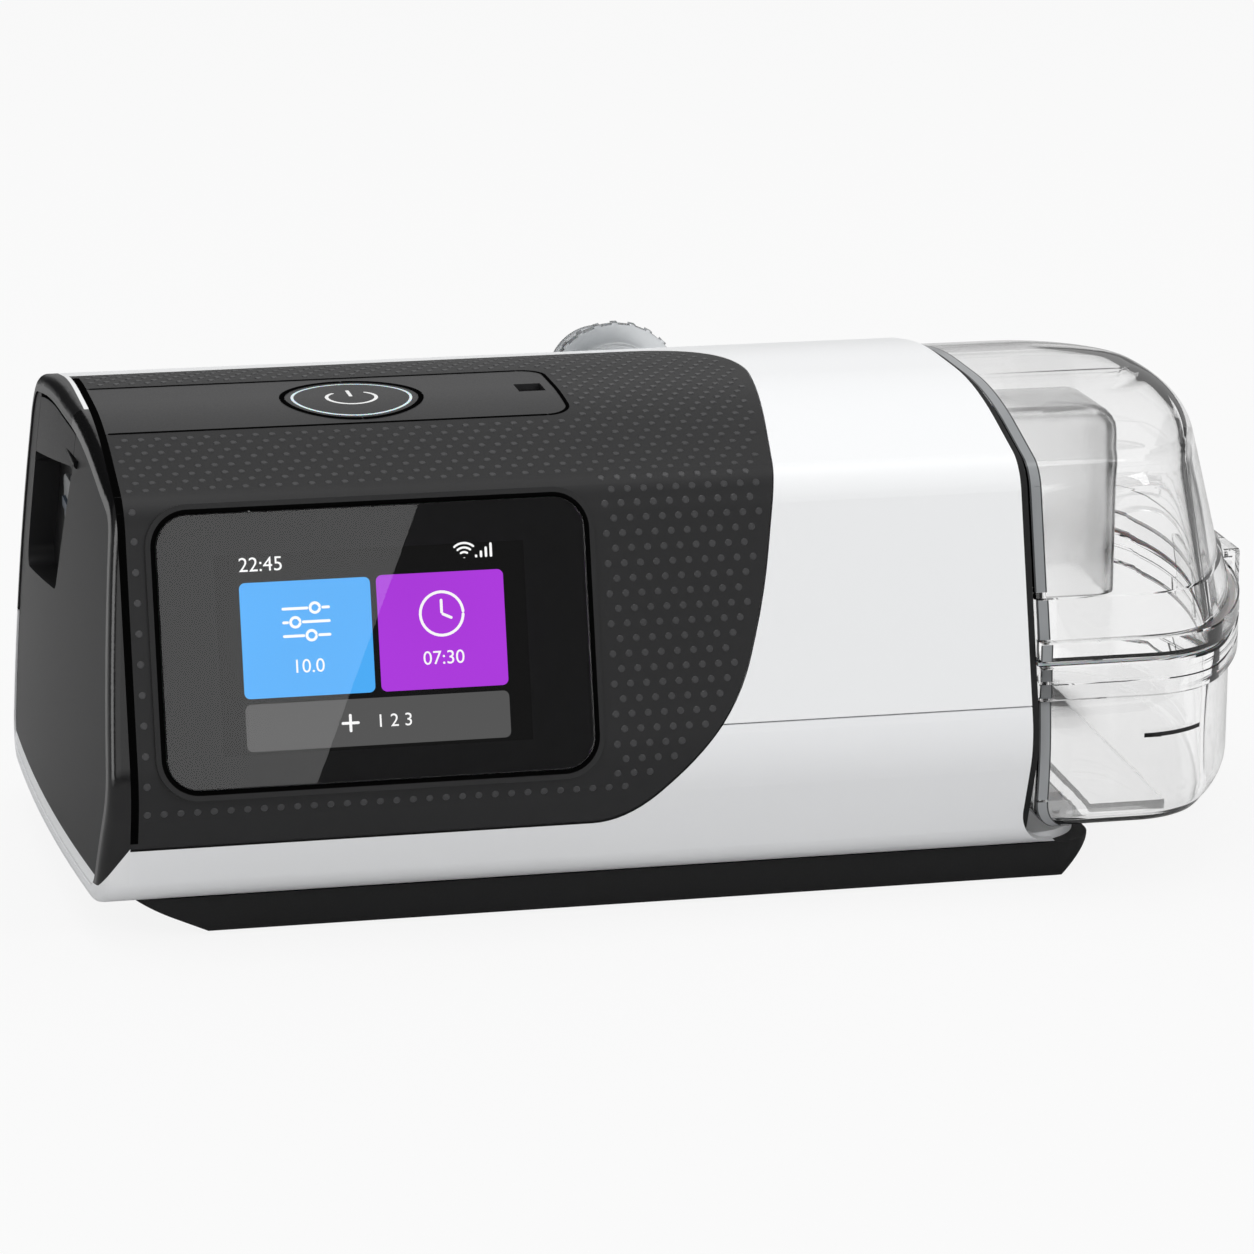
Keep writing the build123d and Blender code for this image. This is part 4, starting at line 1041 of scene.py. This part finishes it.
# %% [markdown]
# ## The clear tub: lid
#
# The lid continues the case: at every height it is exactly as deep as the case's section a little
# further in, so its front and rear are looked up on the case profile. Its end leans in as it rises
# and rolls over into the top. Its heights are not even: they follow the profile's own points, so
# that the rings crowd together where the top is nearly flat, and the last is a narrow slit.

# %% Tub lid
LID_SPLIT, LID_INSET, LID_LEAN, LID_TOP_R, SKIRT_STEP = 49.1, 1.6, 0.24, 10.0, 0.8
SKIRT_TOP = 61.75
DRY_PORT, HUMID_PORT, PORT_R, PORT_CUT_X = (-6.0, 80.0), (22.0, 78.0), 7.6, (66, 72)
CORNER_SHARE, LEFT_SHARE = 0.84, 0.1  # largest corner radii as a share of half the depth
CROWN_X, CROWN_RISE, SLIT = 86.0, 0.02, 0.3


def lid_rings(z, grow, left):
    """Rings of the lid: front and rear from the case's section, the end radius less the lean and the
    drop LID_TOP_R * (1 - sqrt(1 - into^2)) of the rounded top edge."""
    inset = LID_INSET - grow
    front, rear = case_span(z, inset)
    into = np.clip((z - case_outline(inset)[:, 1].max() + LID_TOP_R) / LID_TOP_R, 0, 1)
    drop = LID_TOP_R * (1 - np.sqrt(1 - into ** 2))
    end_r = END_BOW_R + grow - LID_LEAN * (z - LID_SPLIT) - drop
    half = (rear - front) / 2
    corner_r = np.clip(CORNER_SHARE * half, 1e-3, CORNER_R + grow)
    left_r = np.clip(LEFT_SHARE * half, 1e-4, LEFT_R)
    return tub_rings(z, left, front, rear, end_r, corner_r, left_r)


def top_levels(inset, low):
    """Heights from low up to the crown, at even distances along the front half of the profile."""
    outline = case_outline(inset, 40)
    outline = outline[:outline[:, 1].argmax() + 1]
    length = distances(outline)
    start = np.interp(low, outline[:, 1], length)
    return np.interp(np.linspace(start, length[-1] - SLIT, 30), length, outline[:, 1])


outer_z = np.concatenate([[SKIRT_TOP, 62.1], np.linspace(64, 80, 7), top_levels(LID_INSET, 82.0)])
inner_z = np.concatenate([[49.8], np.linspace(52, 78, 9), top_levels(LID_INSET + TUB_WALL, 80.0)])
flange_z, flange_out = np.array([
    (49.4, -1.6), (49.4, 1.5), (49.7, FLANGE_OUT), (53.4, FLANGE_OUT), (53.7, 1.5)]).T
lid_path = np.concatenate([
    lid_rings(outer_z, 0.0, TUB_LEFT)[::-1],
    lid_rings(np.array([53.75, 57.0, 61.3, 61.65]), SKIRT_STEP, TUB_LEFT)[::-1],
    base_rings(flange_z, flange_out)[::-1],
    lid_rings(inner_z, -TUB_WALL, TUB_LEFT + TUB_WALL)])
crown_poles = [(CROWN_X, ring[:, 1].mean(), ring[0, 2] + CROWN_RISE) for ring in lid_path[[0, -1]]]
lid_mesh = closed_surface("tub_lid_clear", lid_path, crown_poles)
lid_steps = [(CUT, rod_mesh(0, *PORT_CUT_X, port, PORT_R)) for port in (DRY_PORT, HUMID_PORT)]
lid_steps += hinge_steps(LID_KNUCKLES, LID_KNUCKLE, BASE_KNUCKLES, BASE_KNUCKLE + SIDE_GAP, 55.1,
                         46.9, (HINGE_Z + WEB_NEAR, HINGE_Z + WEB_FAR))
tub_lid = make_piece("tub_lid_clear", worked(lid_mesh, lid_steps + [pin_bore()]), clear_tub, "lid",
                     "clear_tub", 32)
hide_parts("tub_lid")
print("tub lid faces:", len(tub_lid.data.polygons), "top at", round(float(lid_path[..., 2].max()), 1))

# %% [markdown]
# ## The tub's ground edge, in painted light and shade
#
# Where the tub meets the machine, its open edge is ground flat. Seen from the front that edge is a
# grey band between two dark lines, because the ground face scatters light that the polished wall lets
# through. Both are painted here: the grey band is painted light, and the dark lines are painted shade
# where the edge bends the light away. Each band is a strip that follows the wall's own profile, over
# the lid and down the base.

# %% Ground edge
EDGE_X = (68.25, 68.6, 70.5, 70.8)  # the bands lie between these


def edge_piece(name, paths, body):
    """Three bands along each path (y, z): painted shade, light, shade. A path comes with its shift in
    x.
    """
    points, faces, count = [], [], 0
    for low_x, high_x in zip(EDGE_X, EDGE_X[1:]):
        for path, shift in paths:
            points += [at_x(x + shift, path) for x in (low_x, high_x)]
            faces.append(grid_faces(2, len(path), False) + count)
            count += 2 * len(path)
    mesh = make_mesh(name, np.concatenate(points), faces)
    make_piece(name, mesh, edge_painted_shade, body, "clear_tub")
    mesh.materials.append(edge_painted_light)
    shade = np.repeat([0, 1, 0], len(mesh.polygons) // 3)
    mesh.polygons.foreach_set("material_index", shade.astype(np.int32))


def front_line(z, tucked=0.0):
    """Line (y, z) down the base's front, moved back where it tucks in under the wall."""
    return np.column_stack([TUB_FRONT - belly_at(z) + tucked * TUCK_SHARE - PRINT_LIFT, z])


def flange_line(high, low):
    """Line (y, z) down the front of the flange."""
    return np.array([(TUB_FRONT - FLANGE_OUT - PRINT_LIFT, z) for z in (high, low)])


# painted shade where the edge bends the light away, painted light where it is ground and scatters it
edge_painted_shade = moulded("polycarbonate_edge_in_shadow", "#3c3d3f", "#48494b", 0.2, 0.6, 0.001)
edge_painted_light = moulded("polycarbonate_ground_edge_painted_light", "#8d9092", "#9a9c9e", 0.2, 0.6, 0.002)
arch = evenly(case_outline(LID_INSET - PRINT_LIFT), LINE_STEP)
arch = arch[arch[:, 1] > SKIRT_TOP]
skirt_z = np.linspace(53.8, 61.6, 6)
skirt_y = case_span(skirt_z, LID_INSET - SKIRT_STEP - PRINT_LIFT)[0]
lid_lines = [arch[::-1], np.column_stack([skirt_y, skirt_z])[::-1], flange_line(53.3, 49.8)]
edge_piece("tub_lid_ground_edge_painted_light_and_shade", [(line, 0) for line in lid_lines], "lid")
fall = np.pi / 2 * np.linspace(0, 1, 12)
tuck = TUCK_R * (1 - np.cos(fall))
edge_piece("tub_base_ground_edge_painted_light_and_shade", [
    (front_line(np.linspace(41.2, tuck_top + 0.5, 10)), 0),
    (front_line(TUB_FLOOR + TUCK_R * (1 - np.sin(fall)), tuck), tuck),
    (flange_line(48.1, 45.6), 0), (flange_line(44.8, 42.1), 0)], "tub")
print("ground edge laid along", round(float(distances(arch)[-1])), "mm of the lid")

# %% [markdown]
# ## The air duct in the lid
#
# Air comes in through the left wall, turns down and blows over the water. Its duct is two rounded
# boxes that grow into each other. A rounded box is a sphere that has been cut into eight and pulled
# apart, so it takes one line: the sphere's own point plus half the missing length, with its sign.

# %% Air duct
DUCT_WALL, DUCT_FRONT, DUCT_REAR, DUCT_R, WAY_R = 1.8, -21, 9, 5.5, 3.8
DUCT_NEAR, DUCT_FAR, DUCT_TOP, WAY_IN_X, WAY_IN_Z = 77, 99, 90, 64, 71.5
FAR_CORNER = np.array([DUCT_FAR, DUCT_REAR, DUCT_TOP])


def rounded_box(low, high, radius):
    """Closed box with rounded edges: radius * direction + (half size - radius) * sign(direction)."""
    low, high = np.array(low, float), np.array(high, float)
    spread = np.linspace(0.02, 0.98, 6) * np.pi / 2
    down = np.concatenate([spread, np.pi - spread[::-1]])[:, None]
    turn = np.concatenate([spread + quarter * np.pi / 2 for quarter in range(4)])
    ball = np.stack([np.sin(down) * np.cos(turn), np.sin(down) * np.sin(turn),
                     np.cos(down) + 0 * turn], -1)
    rows = (low + high) / 2 + radius * ball + ((high - low) / 2 - radius) * np.sign(ball)
    return closed_surface("rounded_box", rows)


def airway(x, z):
    """Cut from (x, z) to the duct's far top corner, a wall's thickness inside its sides."""
    return CUT, rounded_box((x, DUCT_FRONT + DUCT_WALL, z), FAR_CORNER - DUCT_WALL, WAY_R)


duct_steps = [
    (JOIN, rounded_box((DUCT_NEAR, DUCT_FRONT, 44), FAR_CORNER, DUCT_R)),  # the way down
    airway(60, WAY_IN_Z + DUCT_WALL), airway(DUCT_NEAR + DUCT_WALL, 40),
    (CUT, box_mesh((60, -30, 60), (70.2, 20, 95))),  # its open end in the left wall
    (CUT, box_mesh((70, -30, 35), (105, 20, 50.5)))]  # its open end over the water
way_in = rounded_box((WAY_IN_X, DUCT_FRONT, WAY_IN_Z), FAR_CORNER, DUCT_R)
duct = make_piece("tub_air_duct_rounded", worked(way_in, duct_steps), frosted_duct, "lid",
                  "clear_tub", 40)
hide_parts("tub_air_duct")
print("duct faces:", len(duct.data.polygons))

# %% [markdown]
# ## The fill line
#
# A printed line on the tub's front shows how far it may be filled. It follows the wall round the
# curved corner, so it is a strip of the tub's own outline at two heights, a few hundredths of a
# millimetre out.

# %% Fill line
FILL_LINE_Z, FILL_LINE_START = np.array([32.6, 33.5]), 94.3
FILL_LINE_COLUMNS = slice(4, 21)  # from the ring's last left point into its front corner
line_rings = base_rings(FILL_LINE_Z, PRINT_LIFT)[:, FILL_LINE_COLUMNS]
line_rings[:, 0, 0] = FILL_LINE_START
ribbon("fill_line_print", line_rings, False, black_ink, "tub", "fascia_black")
print("fill line runs from x", FILL_LINE_START, "to", np.round(line_rings[0, -1], 1))

# %% [markdown]
# ## Paper floor and a white sky
#
# Product pictures are taken on white paper. The floor is paper too, but part of it glows for the
# camera, so that it looks white without any more light on the machine. The sky does the same: it is
# white where the camera sees it, directly or through clear plastic, dimmer where it lights things,
# and dimmer still where something mirrors it, so that black plastic stays black.

# %% Floor and sky
FLOOR_REACH = 3000
SKY_SEEN, SKY_LIGHT, SKY_MIRRORED, PAPER_GLOW = 1.0, 0.72, 0.3, 0.88
WHITE = (1, 1, 1, 1)
MIRRORED, THROUGH = "Is Glossy Ray", "Is Transmission Ray"


def seen_rays(tree):
    """1 for a ray that ends up in the picture: from the camera, or on through clear plastic."""
    ray = add(tree, "LightPath").outputs
    return add(tree, "Math", {0: ray["Is Camera Ray"], 1: ray[THROUGH]}, operation="MAXIMUM")


def rectangle(low, high):
    """Four corners of a rectangle whose lowest and highest corner agree in one coordinate."""
    corners = np.array([low] * 4, float)
    one, two = np.flatnonzero(np.array(low) != high)
    corners[[1, 2], one], corners[[2, 3], two] = high[one], high[two]
    return corners


def stage_sheet(name, paint, corners):
    """Flat piece of the stage, and the empty node tree of its paint."""
    mesh = make_mesh(name, corners, [np.arange(4)[None]])
    put(name, mesh)
    made, tree = empty_material(paint)
    mesh.materials.append(made)
    return tree


def glow_by(tree, share, resting, strength):
    """Joins to the output the resting shader and, by share, an even white glow."""
    lit = add(tree, "Emission", {"Color": WHITE, "Strength": strength})
    add(tree, "OutputMaterial", {"Surface": add(tree, "MixShader", {0: share, 1: resting, 2: lit})})


scene.view_settings.view_transform = "Standard"
scene.world = bpy.data.worlds.new("white_studio")
scene.world.use_nodes = True
sky = scene.world.node_tree
sky.nodes.clear()
lighting = add(sky, "MapRange", {"Value": add(sky, "LightPath").outputs[MIRRORED],
                                 "To Min": SKY_LIGHT, "To Max": SKY_MIRRORED})
strength = add(sky, "MapRange", {"Value": seen_rays(sky), "To Min": lighting, "To Max": SKY_SEEN})
add(sky, "OutputWorld", {
    "Surface": add(sky, "Background", {"Color": WHITE, "Strength": strength})})

# matt paper takes one soft shadow and mirrors nothing
tree = stage_sheet("floor", "pale_paper_floor",
                   rectangle((-FLOOR_REACH, -FLOOR_REACH, 0), (FLOOR_REACH, FLOOR_REACH, 0)))
glow_by(tree, add(tree, "Math", {0: seen_rays(tree), 1: PAPER_GLOW}, operation="MULTIPLY"),
        add(tree, "BsdfDiffuse", {"Color": linear("#cccccc")}), 1.0)
print("floor and sky ready")

# %% [markdown]
# ## Soft boxes, and cards that only a reflection sees
#
# A soft box is a lamp as large as a window, and it lights a rounded case without hard edges. Glass
# needs something else: what it mirrors. A studio stands a white card in front of the object, so
# that one slanting edge crosses the display, and dark ones beside it, so that the black parts stay
# black. Clear plastic needs dark cards most of all: its edges bend light far enough to show them, and
# so get their dark lines. Each card here shows to mirror rays only, or to rays that went through
# something clear, and lights nothing.

# %% Lamps and reflection cards
CARDS = (  # lowest and highest corner in mm, glow, and the rays that see it
    ("white_card_left", (-900, -500, 0), (-900, -100, 500), 5.0, MIRRORED),
    ("grey_card_front", (-2500, -1560, 0), (2500, -1560, 1600), 0.12, MIRRORED),
    ("pale_card_behind", (-1500, 1500, 250), (1500, 1500, 1500), 0.6, MIRRORED),
    ("dark_card_left", (-1800, 900, 0), (-150, 900, 1400), 0.02, MIRRORED),
    ("dark_card_right", (360, -600, 1), (360, 300, 500), 0.02, THROUGH),
    ("dark_card_above", (-100, -500, 420), (360, 60, 420), 0.5, THROUGH),
    ("dark_card_front", (-100, -900, 2), (400, -420, 2), 0.02, THROUGH))
SLANTED_CARD = [(58, -1500, 200), (421, -1500, 1000), (-1500, -1500, 1000), (-1500, -1500, 200)]


def softbox(name, place, target, size, power):
    """Rectangular area lamp that faces its target."""
    lamp = bpy.data.lights.new(name, "AREA")
    lamp.shape, lamp.energy = "RECTANGLE", power
    lamp.size, lamp.size_y = size
    made = put(name, lamp)
    made.location = place
    made.rotation_euler = (Vector(target) - Vector(place)).to_track_quat("-Z", "Y").to_euler()


def unseen_card(name, corners, glow, rays):
    """Card that one kind of ray sees as a glow, and every other ray passes through."""
    tree = stage_sheet(name, name + "_paint", corners)
    glow_by(tree, add(tree, "LightPath").outputs[rays], add(tree, "BsdfTransparent"), glow)


softbox("top_softbox", (-0.1, 0.1, 1.4), (0, 0, 0), (1.2, 0.9), 6)
softbox("front_softbox", (1.4, -1.5, 1.2), (0, 0, 0.05), (0.9, 0.9), 12)
unseen_card("white_card", SLANTED_CARD, 1.6, MIRRORED)
for name, low, high, glow, rays in CARDS:
    unseen_card(name, rectangle(low, high), glow, rays)
print("lamps:", [lamp.name for lamp in bpy.data.lights], "cards:", 1 + len(CARDS))

# %% [markdown]
# ## Is every part dressed?
#
# A part that was forgotten keeps the plain colour it came with, and that is easy to miss inside a
# machine. So the last look goes to the list, not to the picture.

# %% Parts without a finish
own = {name for name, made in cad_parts.items()
       if made.data.materials and made.data.materials[0].use_nodes
       and any(node.type == "TEX_COORD" for node in made.data.materials[0].node_tree.nodes)}
print("parts with a patterned finish:", len(own), "without:", sorted(set(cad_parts) - own))
